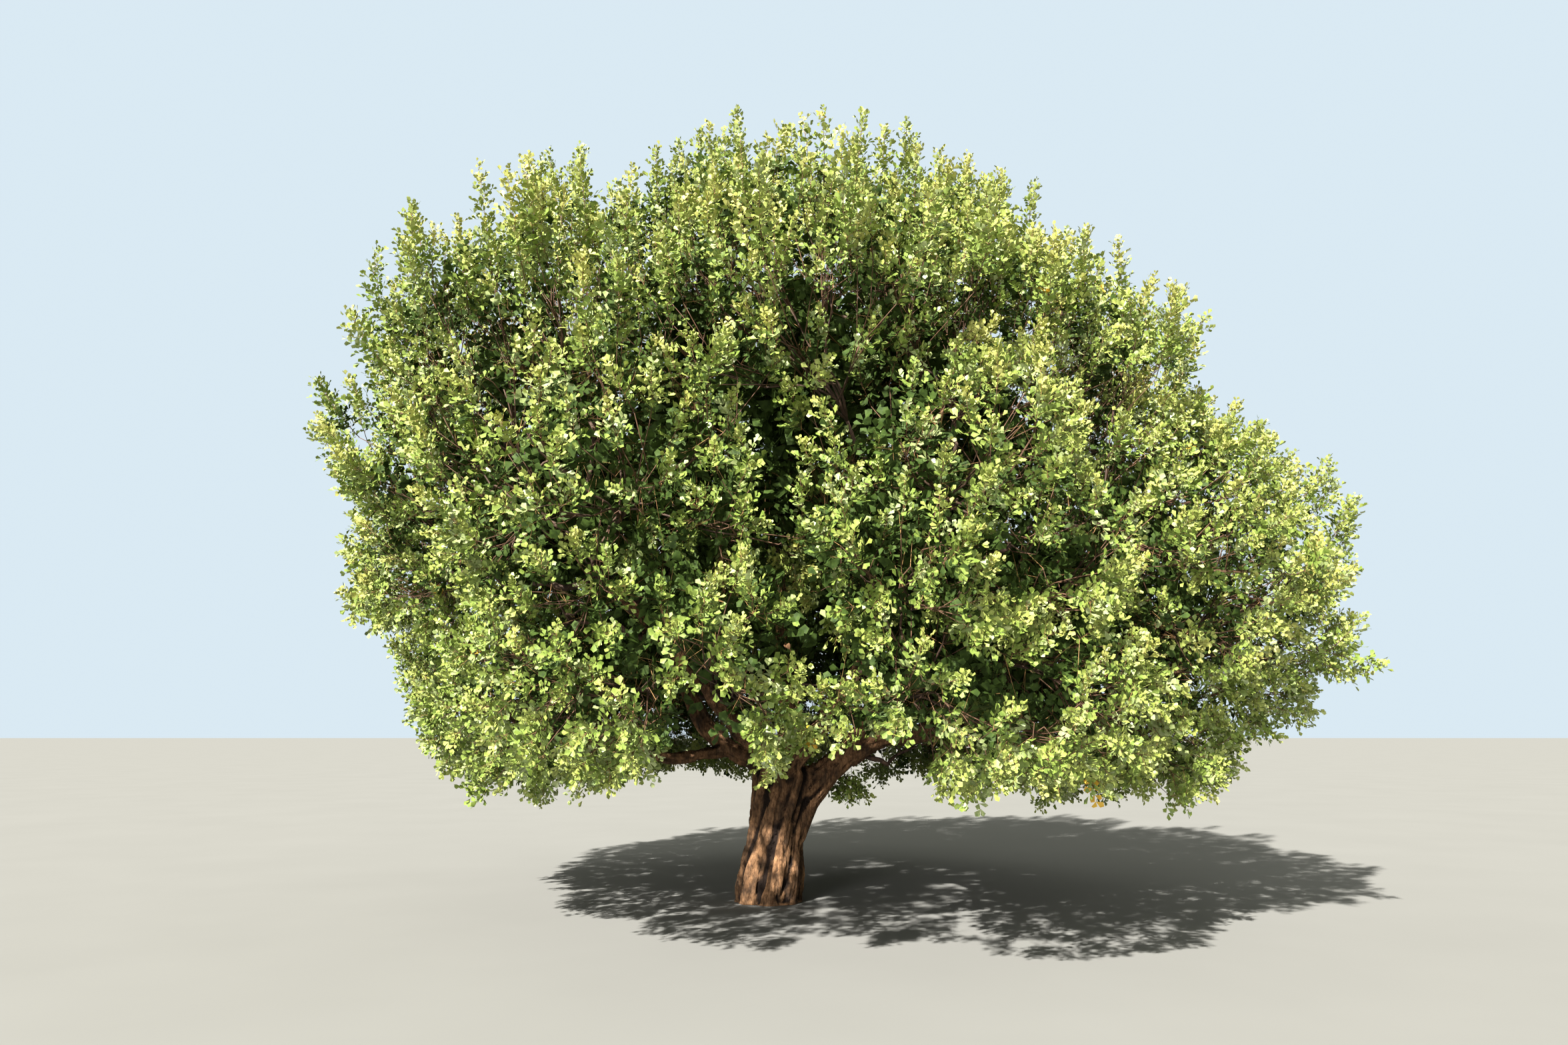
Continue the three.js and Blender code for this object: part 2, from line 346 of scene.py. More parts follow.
def tube_arrays(lines: Array, ends: Pair, sides: int) -> tuple[Array, Array, Array]:
    """Closed tapering tubes along many lines at once.

    Args:
        lines: Shape (tubes, points, 3).
        ends: The radius at a line's start and at its end.
        sides: How many sides a tube has.

    Returns:
        Vertices, the quads of the walls and the triangles of the ends.
    """
    count, steps = lines.shape[:2]
    radii = np.broadcast_to(np.linspace(*ends, steps), (count, steps))
    _, across, over = frames_along(lines)
    angle = np.arange(sides) * (2 * math.pi / sides)
    ring = across[:, :, None] * np.cos(angle)[:, None] + over[:, :, None] * np.sin(angle)[:, None]
    points = (lines[:, :, None] + radii[:, :, None, None] * ring).reshape(-1, 3)
    side = np.arange(sides)
    after = (side + 1) % sides
    first = (np.arange(count) * steps * sides)[:, None, None]
    start = first + (np.arange(steps - 1) * sides)[:, None]
    walls = np.stack([start + side, start + after, start + after + sides, start + side + sides], axis=-1)
    fan = np.stack([np.zeros(sides - 2, int), np.arange(1, sides - 1), np.arange(2, sides)], axis=-1)
    caps = np.concatenate([first + fan[:, ::-1], first + (steps - 1) * sides + fan], axis=1)
    return points, walls.reshape(-1, 4), caps.reshape(-1, 3)


def blades(starts: Array, ends: Array, thick: float) -> tuple[Array, Array]:
    """Thin stalks, each a narrow three-cornered blade that stands upright.

    Args:
        starts: Where the stalks start, as rows.
        ends: Where they end in a point.
        thick: The stalk's thickness at its start.

    Returns:
        Vertices and triangles.
    """
    side = unit(np.cross(ends - starts, UP + 0.01)) + 0.6 * UP
    points = np.stack([starts - thick * side / 2, starts + thick * side / 2, ends], axis=1)
    return points.reshape(-1, 3), np.arange(len(starts) * 3).reshape(-1, 3)


def joined(parts: list[tuple[Array, ...]]) -> tuple[Array, ...]:
    """Several sets of vertices and faces as one.

    Args:
        parts: The vertices of each, then its sets of faces.

    Returns:
        The vertices of all, then each set of faces.
    """
    shift = np.cumsum([0] + [len(part[0]) for part in parts[:-1]])
    points, *face_sets = zip(*parts)
    shifted = ([faces + by for faces, by in zip(face_set, shift)] for face_set in face_sets)
    return np.concatenate(points), *(np.concatenate(faces) for faces in shifted)


def select_only(piece: Piece) -> None:
    """Selects one piece and makes it active.

    Args:
        piece: The piece. Everything else is deselected.
    """
    bpy.ops.object.select_all(action="DESELECT")
    piece.select_set(True)
    bpy.context.view_layer.objects.active = piece


# Finishes

class Shader:
    """A material's node tree, with short ways to add and join its nodes."""

    def __init__(self, name: str, roughness: float, gloss: float = 0.5) -> None:
        """Starts a material.

        Args:
            name: The material's name.
            roughness: The surface's roughness where nothing drives it.
            gloss: How strongly it reflects.
        """
        self.material = bpy.data.materials.new(name)
        self.material.use_nodes = True
        self.nodes = self.material.node_tree.nodes
        self.surface = self.nodes["Principled BSDF"]
        self.surface.inputs["Roughness"].default_value = roughness
        self.surface.inputs["Specular IOR Level"].default_value = gloss
        self.place = self.nodes.new("ShaderNodeTexCoord").outputs["Object"]

    def put(self, value: Socket | float | tuple, target: Socket) -> None:
        """Joins an output to an input, or sets the input to a plain value.

        Args:
            value: The output, or the value.
            target: The input.
        """
        if isinstance(value, Socket):
            self.material.node_tree.links.new(value, target)
        else:
            target.default_value = value

    def add(self, kind: str, output: str, inputs: dict, **settings: str) -> Socket:
        """Adds a node.

        Args:
            kind: The node's kind, without Blender's prefix.
            output: Which of its outputs is wanted.
            inputs: What each input is joined to or set to, by name.
            **settings: The node's own settings.

        Returns:
            The output.
        """
        made = self.nodes.new(f"ShaderNode{kind}")
        for name, value in settings.items():
            setattr(made, name, value)
        for name, value in inputs.items():
            self.put(value, made.inputs[name])
        return made.outputs[output]

    def noise(self, scale: float, stretch: tuple = (1, 1, 1), detail: float = 3.0) -> Socket:
        """Noise over the surface, by its swells for each metre, their stretch, and its finer octaves."""
        place = self.add("Mapping", "Vector", {"Vector": self.place, "Scale": stretch})
        return self.add("TexNoise", "Fac", {"Vector": place, "Scale": scale, "Detail": detail})

    def ramp(self, factor: Socket, low: tuple[float, Triple], high: tuple[float, Triple]) -> Socket:
        """Colours along a factor.

        Args:
            factor: What drives the ramp.
            low: The place and the colour of its first stop.
            high: The place and the colour of its second stop.

        Returns:
            The colour.
        """
        made = self.nodes.new("ShaderNodeValToRGB")
        for element, (at, colour) in zip(made.color_ramp.elements, (low, high)):
            element.position = at
            element.color = (*colour, 1.0)
        self.put(factor, made.inputs["Fac"])
        return made.outputs["Color"]

    def mix(self, share: Socket | float, a: Socket, b: Socket | tuple, way: str = "MIX") -> Socket:
        """A share of the second colour mixed into the first."""
        sources = {"Factor": share, "A": a, "B": b}
        return self.add("Mix", "Result", sources, data_type="RGBA", blend_type=way)

    def spread(self, factor: Socket, low: float, high: float) -> Socket:
        """A factor from 0.3 to 0.7, as noise mostly gives, spread from low to high."""
        limits = {"From Min": 0.3, "From Max": 0.7, "To Min": low, "To Max": high}
        return self.add("MapRange", "Result", {"Value": factor, **limits})

    def bump(self, height: Socket, strength: float, depth: float) -> None:
        """Dents the surface by a height, to a depth in metres."""
        dented = self.add("Bump", "Normal", {"Height": height, "Strength": strength, "Distance": depth})
        self.put(dented, self.surface.inputs["Normal"])

    def colour(self, source: Socket) -> None:
        """Gives the surface its colour."""
        self.put(source, self.surface.inputs["Base Color"])


@dataclass(frozen=True)
class LeafFinish:
    """The leathery finish of the leaves of one age and painted light: two tones that change from leaf to
    leaf.
    """

    age: LeafAgeAndLight
    deep: Triple
    light: Triple
    roughness: Pair
    gloss: float = 0.42
    tone_scale: float = 17.0
    fine_scale: float = 55.0

    def material(self) -> bpy.types.Material:
        """Makes the finish.

        Returns:
            The material.
        """
        shader = Shader(f"{self.age.value}_leaf", self.roughness[0], self.gloss)
        tone = shader.noise(self.tone_scale, detail=2.0)
        shader.colour(shader.ramp(tone, (0.32, self.deep), (0.68, self.light)))
        fine = shader.noise(self.fine_scale, detail=1.0)
        shader.put(shader.spread(fine, *self.roughness), shader.surface.inputs["Roughness"])
        shader.bump(fine, strength=0.25, depth=0.004)
        return shader.material


# Lighter and darker finishes: real ages, and also lit and shaded copies dealt out by painted light.
LEAF_FINISHES = (
    LeafFinish(LeafAgeAndLight.YOUNG, (0.3, 0.32, 0.06), (0.45, 0.45, 0.15), (0.42, 0.56)),
    LeafFinish(LeafAgeAndLight.FRESH, (0.2, 0.255, 0.043), (0.34, 0.38, 0.11), (0.38, 0.54)),
    LeafFinish(LeafAgeAndLight.MATURE, (0.115, 0.176, 0.027), (0.235, 0.303, 0.068), (0.36, 0.52)),
    # Glossy leaves: lower roughness, and a paler greyish base colour that is a painted sheen.
    LeafFinish(LeafAgeAndLight.GLOSSY, (0.165, 0.22, 0.068), (0.32, 0.365, 0.165), (0.32, 0.46)),
    # Near-black: painted shade, for the leaves behind the shoots and for shoots given little painted light.
    LeafFinish(LeafAgeAndLight.SHADED, (0.019, 0.038, 0.006), (0.05, 0.086, 0.014), (0.6, 0.75), gloss=0.2),
    LeafFinish(LeafAgeAndLight.YELLOWED, (0.5, 0.27, 0.02), (0.66, 0.44, 0.05), (0.5, 0.7)),
)


@dataclass(frozen=True)
class BarkFinish:
    """Reddish-brown furrowed bark: grooves painted near-black as shade, crests paler with wear and a painted
    highlight, and grey weathered patches.
    """

    name: str = "bark"
    # Near-black colour of deep places: painted shade.
    groove_painted_shade: Triple = (0.01, 0.005, 0.003)
    body: Triple = (0.072, 0.034, 0.0145)
    # Pale colour of raised streaks: worn bark, and a painted highlight.
    crest_wear_and_highlight: Triple = (0.42, 0.23, 0.115)
    weathered: Triple = (0.054, 0.036, 0.023)
    pits: Triple = (0.42, 0.38, 0.35)
    unpitted: Triple = (1.0, 1.0, 1.0)
    grain: float = 16.0
    streak: Triple = (1.0, 1.0, 0.28)
    pit: Triple = (1.0, 1.0, 0.45)
    relief: float = 0.04

    def material(self) -> bpy.types.Material:
        """Makes the finish. The mesh's own depth attribute tells how deep a place lies, and deep places are
        painted near-black as shade.

        Returns:
            The material.
        """
        shader = Shader(self.name, roughness=0.9, gloss=0.25)
        patches = shader.noise(self.grain * 0.25, detail=4.0)
        streaks = shader.noise(self.grain, self.streak, detail=6.0)
        fine = shader.noise(self.grain * 5, self.streak, detail=4.0)
        pits = shader.noise(self.grain * 2.6, self.pit, detail=6.0)
        # The skin pales where the bump rises: worn crests, and a painted highlight.
        skin = shader.ramp(streaks, (0.3, self.body), (0.62, self.crest_wear_and_highlight))
        worn = shader.ramp(streaks, (0.35, self.weathered), (0.7, self.body))
        patched = shader.mix(shader.spread(patches, 0.0, 1.0), skin, worn)
        pitted = shader.ramp(pits, (0.3, self.pits), (0.56, self.unpitted))
        patched = shader.mix(1.0, patched, pitted, "MULTIPLY")
        # Deep places darken to the near-black groove colour: painted shade.
        furrow = shader.add("Attribute", "Fac", {}, attribute_name="furrow")
        shader.colour(shader.mix(furrow, patched, (*self.groove_painted_shade, 1.0)))
        shader.bump(shader.mix(0.35, streaks, fine), strength=1.0, depth=self.relief)
        return shader.material


@dataclass(frozen=True)
class TwigFinish:
    """Smooth reddish-brown skin of twigs, greyer on the thicker ones."""

    name: str
    dark: Triple
    light: Triple

    def material(self) -> bpy.types.Material:
        """Makes the finish.

        Returns:
            The material.
        """
        shader = Shader(self.name, roughness=0.75)
        tone = shader.noise(scale=14.0, stretch=(1.0, 1.0, 0.4), detail=4.0)
        shader.colour(shader.ramp(tone, (0.3, self.dark), (0.7, self.light)))
        shader.bump(tone, strength=0.5, depth=0.006)
        return shader.material


BRANCH_FINISH = TwigFinish("branch_skin", (0.034, 0.018, 0.011), (0.1, 0.056, 0.035))
SHOOT_FINISH = TwigFinish("twig_skin", (0.058, 0.027, 0.014), (0.14, 0.07, 0.036))
STALK_FINISH = TwigFinish("leaf_stalk_skin", (0.16, 0.075, 0.03), (0.34, 0.2, 0.07))


# Limbs and bark

@dataclass(frozen=True)
class Limb:
    """A bough's line, the same as its solid's, and its radius at both ends."""

    name: str
    radius: float
    knots: tuple
    tip_share: float = 0.5

    def line(self, count: int) -> Array:
        """Places along the limb, from the fork to the tip."""
        return smooth_line(np.array(self.knots, float), count)

    def radii(self, count: int) -> Array:
        """The limb's radius at each of as many places."""
        return self.radius * np.linspace(1.0, self.tip_share, count)


LIMBS = (
    Limb("bough_right", 0.205, ((0.12, 0, 1.15), (0.82, -0.02, 1.74), (1.65, -0.04, 2.23),
                                (2.5, -0.15, 2.4), (4.7, -0.5, 2.7))),
    Limb("bough_right_high", 0.15, ((1.0, 0, 1.9), (1.8, 0.2, 3.0), (3.1, 0.6, 5.1))),
    Limb("bough_left", 0.155, ((0.05, 0, 1.8), (-0.56, 0, 2.04), (-0.96, 0, 2.5), (-2.1, 0.1, 5.2))),
    Limb("bough_left_low", 0.105, ((-0.65, 0, 2.08), (-1.35, -0.15, 2.0), (-4.0, -0.6, 2.7))),
    Limb("bough_leader", 0.165, ((0.19, 0.04, 1.7), (0.26, 0.06, 2.7), (0.3, -0.1, 9.2))),
    Limb("bough_back_right", 0.155, ((0.25, 0.15, 1.75), (1.1, 1.3, 2.9), (2.4, 3.2, 4.5))),
    Limb("bough_back_left", 0.155, ((0.06, 0.2, 1.75), (-0.9, 1.4, 2.9), (-2.3, 3.3, 4.5))),
    Limb("bough_front_left", 0.12, ((0.06, -0.08, 1.8), (-0.65, -1.1, 2.7), (-1.9, -3.2, 4.1))),
    Limb("bough_front_right", 0.125, ((0.33, -0.1, 1.8), (0.95, -1.2, 2.8), (1.9, -3.2, 4.2))),
)


@dataclass
class BarkedWood:
    """The trunk and boughs as one skin: rope-like strands that turn as they rise and flow into the boughs."""

    height: float = 1.8
    foot_radius: float = 0.44
    waist_radius: float = 0.4
    waist_height: float = 1.05
    fork_radius: float = 0.42
    flare: float = 0.055
    flare_height: float = 0.28
    flare_spread: float = 0.26
    lean_right: float = 0.21
    lean_back: float = 0.04
    twist: float = 0.7
    buried: float = 0.16
    strands: int = 8
    strand_points: int = 12
    strand_radius: float = 0.113
    strand_shift: float = 0.35
    strand_sway: float = 0.1
    foot_swell: float = 0.3
    limb_points: int = 14
    limb_sway: float = 0.25
    buttress: tuple = ((0.42, -0.1, 0.8), (0.56, -0.12, 1.2), (0.76, -0.1, 1.5), (1.1, -0.06, 1.85))
    buttress_points: int = 10
    buttress_radii: Pair = (0.09, 0.08)
    skin_gain: float = 1.12
    voxel: float = 0.027
    line_samples: int = 60
    line_shift: float = 7.3
    furrow_width: float = 0.05
    furrow_length: float = 0.42
    furrow_size: float = 1.6
    furrow_sharpness: float = 2.4
    wrinkle_size: float = 0.7
    wrinkle_share: float = 0.45
    relief: float = 0.05
    # Smoothing rounds and depths at which places count as deep, for the painted shade in the grooves.
    hollows: tuple = ((6, 0.001, 0.009), (40, 0.001, 0.014))
    seed: int = 11

    def middle(self, height: Array) -> Array:
        """The middle of the trunk at each height, as it leans."""
        share = np.clip(height, 0, None) / self.height
        return np.stack([self.lean_right * share ** 1.3, self.lean_back * share, height], axis=-1)

    def radius(self, height: Array) -> Array:
        """The trunk's outer radius: thinnest at the waist, flared at the foot.

        Args:
            height: Heights over the ground.

        Returns:
            The radius at each.
        """
        seen = np.clip(height, 0, None)
        below = np.clip(1 - seen / self.waist_height, 0, 1) ** 1.3
        above = np.clip((height - self.waist_height) / (self.height - self.waist_height), 0, 1) ** 1.2
        flare = self.flare * np.exp(-((seen - self.flare_height) / self.flare_spread) ** 2)
        return (self.waist_radius + (self.foot_radius - self.waist_radius) * below
                + (self.fork_radius - self.waist_radius) * above + flare)

    def strand(self, number: int, random: Random) -> tuple[Array, Array]:
        """One strand of the trunk, from the ground to the fork.

        Args:
            number: Which strand, counted round the trunk.
            random: Makes each strand a little different.

        Returns:
            Its points and its radius at each.
        """
        height = np.linspace(-self.buried, self.height + 0.1, self.strand_points)
        share = np.clip(height, 0, None) / self.height
        start = 2 * math.pi * (number + self.strand_shift * (random.random() - 0.5)) / self.strands
        sway = self.strand_sway * np.sin(share * random.uniform(3.0, 6.0) + random.uniform(0, 6))
        angle = start + self.twist * share + sway
        foot = np.exp(-np.clip(height, 0, None) / 0.25)
        thick = self.strand_radius * random.uniform(0.75, 1.25) * (1 + self.foot_swell * foot)
        thick *= 1 + 0.1 * np.sin(5 * share + random.uniform(0, 6))
        out = self.radius(height) - 0.8 * thick
        round_about = np.stack([np.cos(angle), np.sin(angle), np.zeros_like(angle)], axis=-1)
        return self.middle(height) + out[:, None] * round_about, thick

    def lines(self) -> list[tuple[Array, Array]]:
        """The centre lines of the wood.

        Returns:
            Points and radii of the trunk's core, its strands, its buttress and every bough.
        """
        random = np.random.default_rng(self.seed)
        height = np.linspace(-self.buried, self.height + 0.12, self.strand_points)
        core = (self.middle(height), self.radius(height) * 0.5)
        found = [core] + [self.strand(k, random) for k in range(self.strands)]
        buttress = smooth_line(np.array(self.buttress), self.buttress_points)
        found.append((buttress, np.linspace(*self.buttress_radii, self.buttress_points)))
        for limb in LIMBS:
            line = limb.line(self.limb_points)
            sway = self.limb_sway * limb.radius * random.normal(size=line.shape)
            sway[[0, -1]] = 0
            thick = limb.radii(self.limb_points) * random.uniform(0.88, 1.1, self.limb_points)
            found.append((line + sway, thick))
        return found

    def skeleton(self, lines: list[tuple[Array, Array]]) -> Piece:
        """The centre lines as chains of extruded vertices, with a skin's radius at each.

        Args:
            lines: The centre lines and their radii.

        Returns:
            The object, with a Skin modifier.
        """
        bpy.ops.object.select_all(action="DESELECT")
        bpy.ops.mesh.primitive_plane_add(size=0.01, location=(0, 0, 0))
        wood = bpy.context.object
        wood.name = wood.data.name = "bark"
        bpy.ops.object.mode_set(mode="EDIT")
        bpy.ops.mesh.select_all(action="SELECT")
        bpy.ops.mesh.delete(type="VERT")
        bpy.ops.object.mode_set(mode="OBJECT")
        starts, radii = [], []
        for line, thick in lines:
            starts.append(len(wood.data.vertices))
            wood.data.vertices.add(1)
            wood.data.vertices[-1].co = line[0]
            for vertex in wood.data.vertices:
                vertex.select = vertex.index == starts[-1]
            bpy.ops.object.mode_set(mode="EDIT")
            for step in np.diff(line, axis=0):
                bpy.ops.mesh.extrude_vertices_move(TRANSFORM_OT_translate={"value": tuple(step)})
            bpy.ops.object.mode_set(mode="OBJECT")
            radii.extend(thick)
        wood.modifiers.new("Skin", "SKIN").use_smooth_shade = True
        skin = wood.data.skin_vertices[0].data
        for vertex, thick in zip(skin, radii):
            vertex.radius = (thick * self.skin_gain, thick * self.skin_gain)
        for start in starts:
            skin[start].use_root = True
        return wood

    def close_skin(self, wood: Piece) -> None:
        """Turns the chains into one closed skin, smooth where limbs meet, and flat at the ground.

        Args:
            wood: The chains, with their Skin modifier.
        """
        subdivision = wood.modifiers.new("Rounded", "SUBSURF")
        subdivision.levels = subdivision.render_levels = 2
        remesh = wood.modifiers.new("Merged", "REMESH")
        remesh.mode = "VOXEL"
        remesh.voxel_size = self.voxel
        soften = wood.modifiers.new("Softened", "SMOOTH")
        soften.factor = 0.5
        soften.iterations = 3
        select_only(wood)
        for name in [modifier.name for modifier in wood.modifiers]:
            bpy.ops.object.modifier_apply(modifier=name)
        bpy.ops.object.mode_set(mode="EDIT")
        bpy.ops.mesh.select_all(action="SELECT")
        bpy.ops.mesh.bisect(plane_co=(0, 0, 0), plane_no=(0, 0, 1), use_fill=True, clear_inner=True)
        bpy.ops.object.mode_set(mode="OBJECT")

    def grain(self, places: Array, lines: list[tuple[Array, Array]]) -> Array:
        """Coordinates that run with the grain of the wood.

        Args:
            places: Places on the skin, as rows.
            lines: The centre lines and their radii.

        Returns:
            How far each place lies across, over and along its line, in furrows' widths and lengths.
        """
        dense = [smooth_line(line, self.line_samples) for line, _ in lines]
        number, _ = nearest(np.concatenate(dense), places)
        frames = [frames_along(line[None]) for line in dense]
        across, over = (np.concatenate([found[k][0] for found in frames])[number] for k in (1, 2))
        away = places - np.concatenate(dense)[number]
        flat = np.concatenate([dot(away, across), dot(away, over)], axis=1)
        along = np.concatenate([length_along(line) for line in dense])[number]
        along = along / self.furrow_length + self.line_shift * (number // self.line_samples)
        return np.concatenate([flat / self.furrow_width, along[:, None]], axis=1)

    def carve(self, wood: Piece, lines: list[tuple[Array, Array]]) -> None:
        """Cuts furrows that run along the limbs, and stores how deep each place lies.

        Args:
            wood: The closed skin.
            lines: The centre lines and their radii.
        """
        places = read(wood.data.vertices, "co", 3)
        normals = read(wood.data.vertices, "normal", 3)
        grain = self.grain(places, lines)
        furrows = np.clip(1 - np.abs(noise_at(grain, self.furrow_size)) * self.furrow_sharpness, 0, 1)
        wrinkles = noise_at(grain, self.wrinkle_size, 31.0)
        depth = -furrows ** 2 * self.relief + self.wrinkle_share * self.relief * wrinkles
        off_ground = smooth_step(places[:, 2], 0.005, 0.05)
        moved = places + normals * (depth * off_ground)[:, None]
        moved[:, 2] = np.maximum(moved[:, 2], 0.0)
        wood.data.vertices.foreach_set("co", moved.astype(np.float32).ravel())
        wood.data.update()
        self.store_furrows(wood, moved)

    def store_furrows(self, wood: Piece, places: Array) -> None:
        """Stores how far each place lies below its surroundings, as an attribute that the bark's finish
        paints as shade.

        Args:
            wood: The carved skin.
            places: Its vertices, as rows.
        """
        a, b = read(wood.data.edges, "vertices", 2, np.int32).T
        count = np.maximum(np.bincount(a, minlength=len(places)) + np.bincount(b, minlength=len(places)), 1)

        def around(values: Array) -> Array:
            """The mean of the neighbours' values.

            Args:
                values: A value or a row for each vertex.

            Returns:
                The means, of the same shape.
            """
            total = np.zeros_like(values)
            np.add.at(total, a, values[b])
            np.add.at(total, b, values[a])
            return total / (count if values.ndim == 1 else count[:, None])

        normals = read(wood.data.vertices, "normal", 3)
        smooth = places
        furrow = np.zeros(len(places))
        done = 0
        for rounds, least, most in self.hollows:
            for _ in range(rounds - done):
                smooth = around(smooth)
            done = rounds
            below = around(around(dot(smooth - places, normals)[:, 0]))
            furrow = np.maximum(furrow, smooth_step(below, least, most))
        attribute = wood.data.attributes.new("furrow", "FLOAT", "POINT")
        attribute.data.foreach_set("value", furrow.astype(np.float32))

    def build(self) -> Piece:
        """Builds and dresses the wood.

        Returns:
            The piece.
        """
        lines = self.lines()
        wood = self.skeleton(lines)
        self.close_skin(wood)
        self.carve(wood, lines)
        select_only(wood)
        bpy.ops.object.shade_smooth()
        wood.data.materials.clear()
        wood.data.materials.append(BarkFinish().material())
        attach(wood, "root")
        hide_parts("trunk", *(limb.name for limb in LIMBS))
        return wood


# The crown

@dataclass
class CrownSurface:
    """The sides of the solid masses of leaves, and what lies in front of each."""

    middle: Triple = (0.3, 0.0, 4.6)
    sight: float = 20.0

    def __post_init__(self) -> None:
        """Gathers the triangles of every mass."""
        self.names = sorted(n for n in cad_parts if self.zone_of(n) is not None)
        corners, owners = [], []
        for number, name in enumerate(self.names):
            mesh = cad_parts[name].data
            mesh.calc_loop_triangles()
            triangles = read(mesh.loop_triangles, "vertices", 3, np.int32)
            corners.append(read(mesh.vertices, "co", 3)[triangles])
            owners.append(np.full(len(triangles), number))
        self.corners = np.concatenate(corners)
        self.owners = np.concatenate(owners)
        square = np.cross(self.corners[:, 1] - self.corners[:, 0], self.corners[:, 2] - self.corners[:, 0])
        self.areas = np.linalg.norm(square, axis=1) / 2
        self.normals = unit(square)
        numbers = np.arange(len(self.corners) * 3).reshape(-1, 3)
        self.tree = BVHTree.FromPolygons(self.corners.reshape(-1, 3).tolist(), numbers.tolist())

    @staticmethod
    def zone_of(name: str) -> Zone | None:
        """The zone of a mass, from its name, or nothing for a limb."""
        return next((zone for start, zone in ZONE_OF_MASS.items() if name.startswith(start)), None)

    def zone_numbers(self, masses: Array) -> Array:
        """The number of each mass's zone among the zones."""
        return np.array([number_of(self.zone_of(name)) for name in self.names])[masses]

    def masses(self, zone: Zone) -> list[str]:
        """The names of a zone's masses."""
        return [name for name in self.names if self.zone_of(name) is zone]

    def outward(self, places: Array) -> Array:
        """The way out of the whole crown from each place."""
        return unit(places - np.array(self.middle))

    def scattered(self, count: int, random: Random) -> tuple[Array, Array, Array]:
        """Places strewn evenly over the masses.

        Args:
            count: How many places.
            random: The source of chance.

        Returns:
            The places, the way out of the mass at each, and the number of each one's mass.
        """
        chosen = random.choice(len(self.areas), count, p=self.areas / self.areas.sum())
        u, v = random.random((2, count, 1))
        flip = u + v > 1
        u, v = np.where(flip, 1 - u, u), np.where(flip, 1 - v, v)
        a, b, c = (self.corners[chosen, k] for k in range(3))
        return a + u * (b - a) + v * (c - a), self.normals[chosen], self.owners[chosen]

    def open_way(self, places: Array, ways: Array) -> Array:
        """How far one can go from each place before meeting a mass.

        Args:
            places: The places, as rows.
            ways: The way from each.

        Returns:
            The free distances, of at most the length of sight.
        """
        def free(place: Array, way: Array) -> float:
            """The free distance for one place."""
            hit = self.tree.ray_cast(Vector(place + 0.002 * way), Vector(way), self.sight)
            return self.sight if hit[0] is None else hit[3]
        return np.array([free(place, way) for place, way in zip(places, ways)])


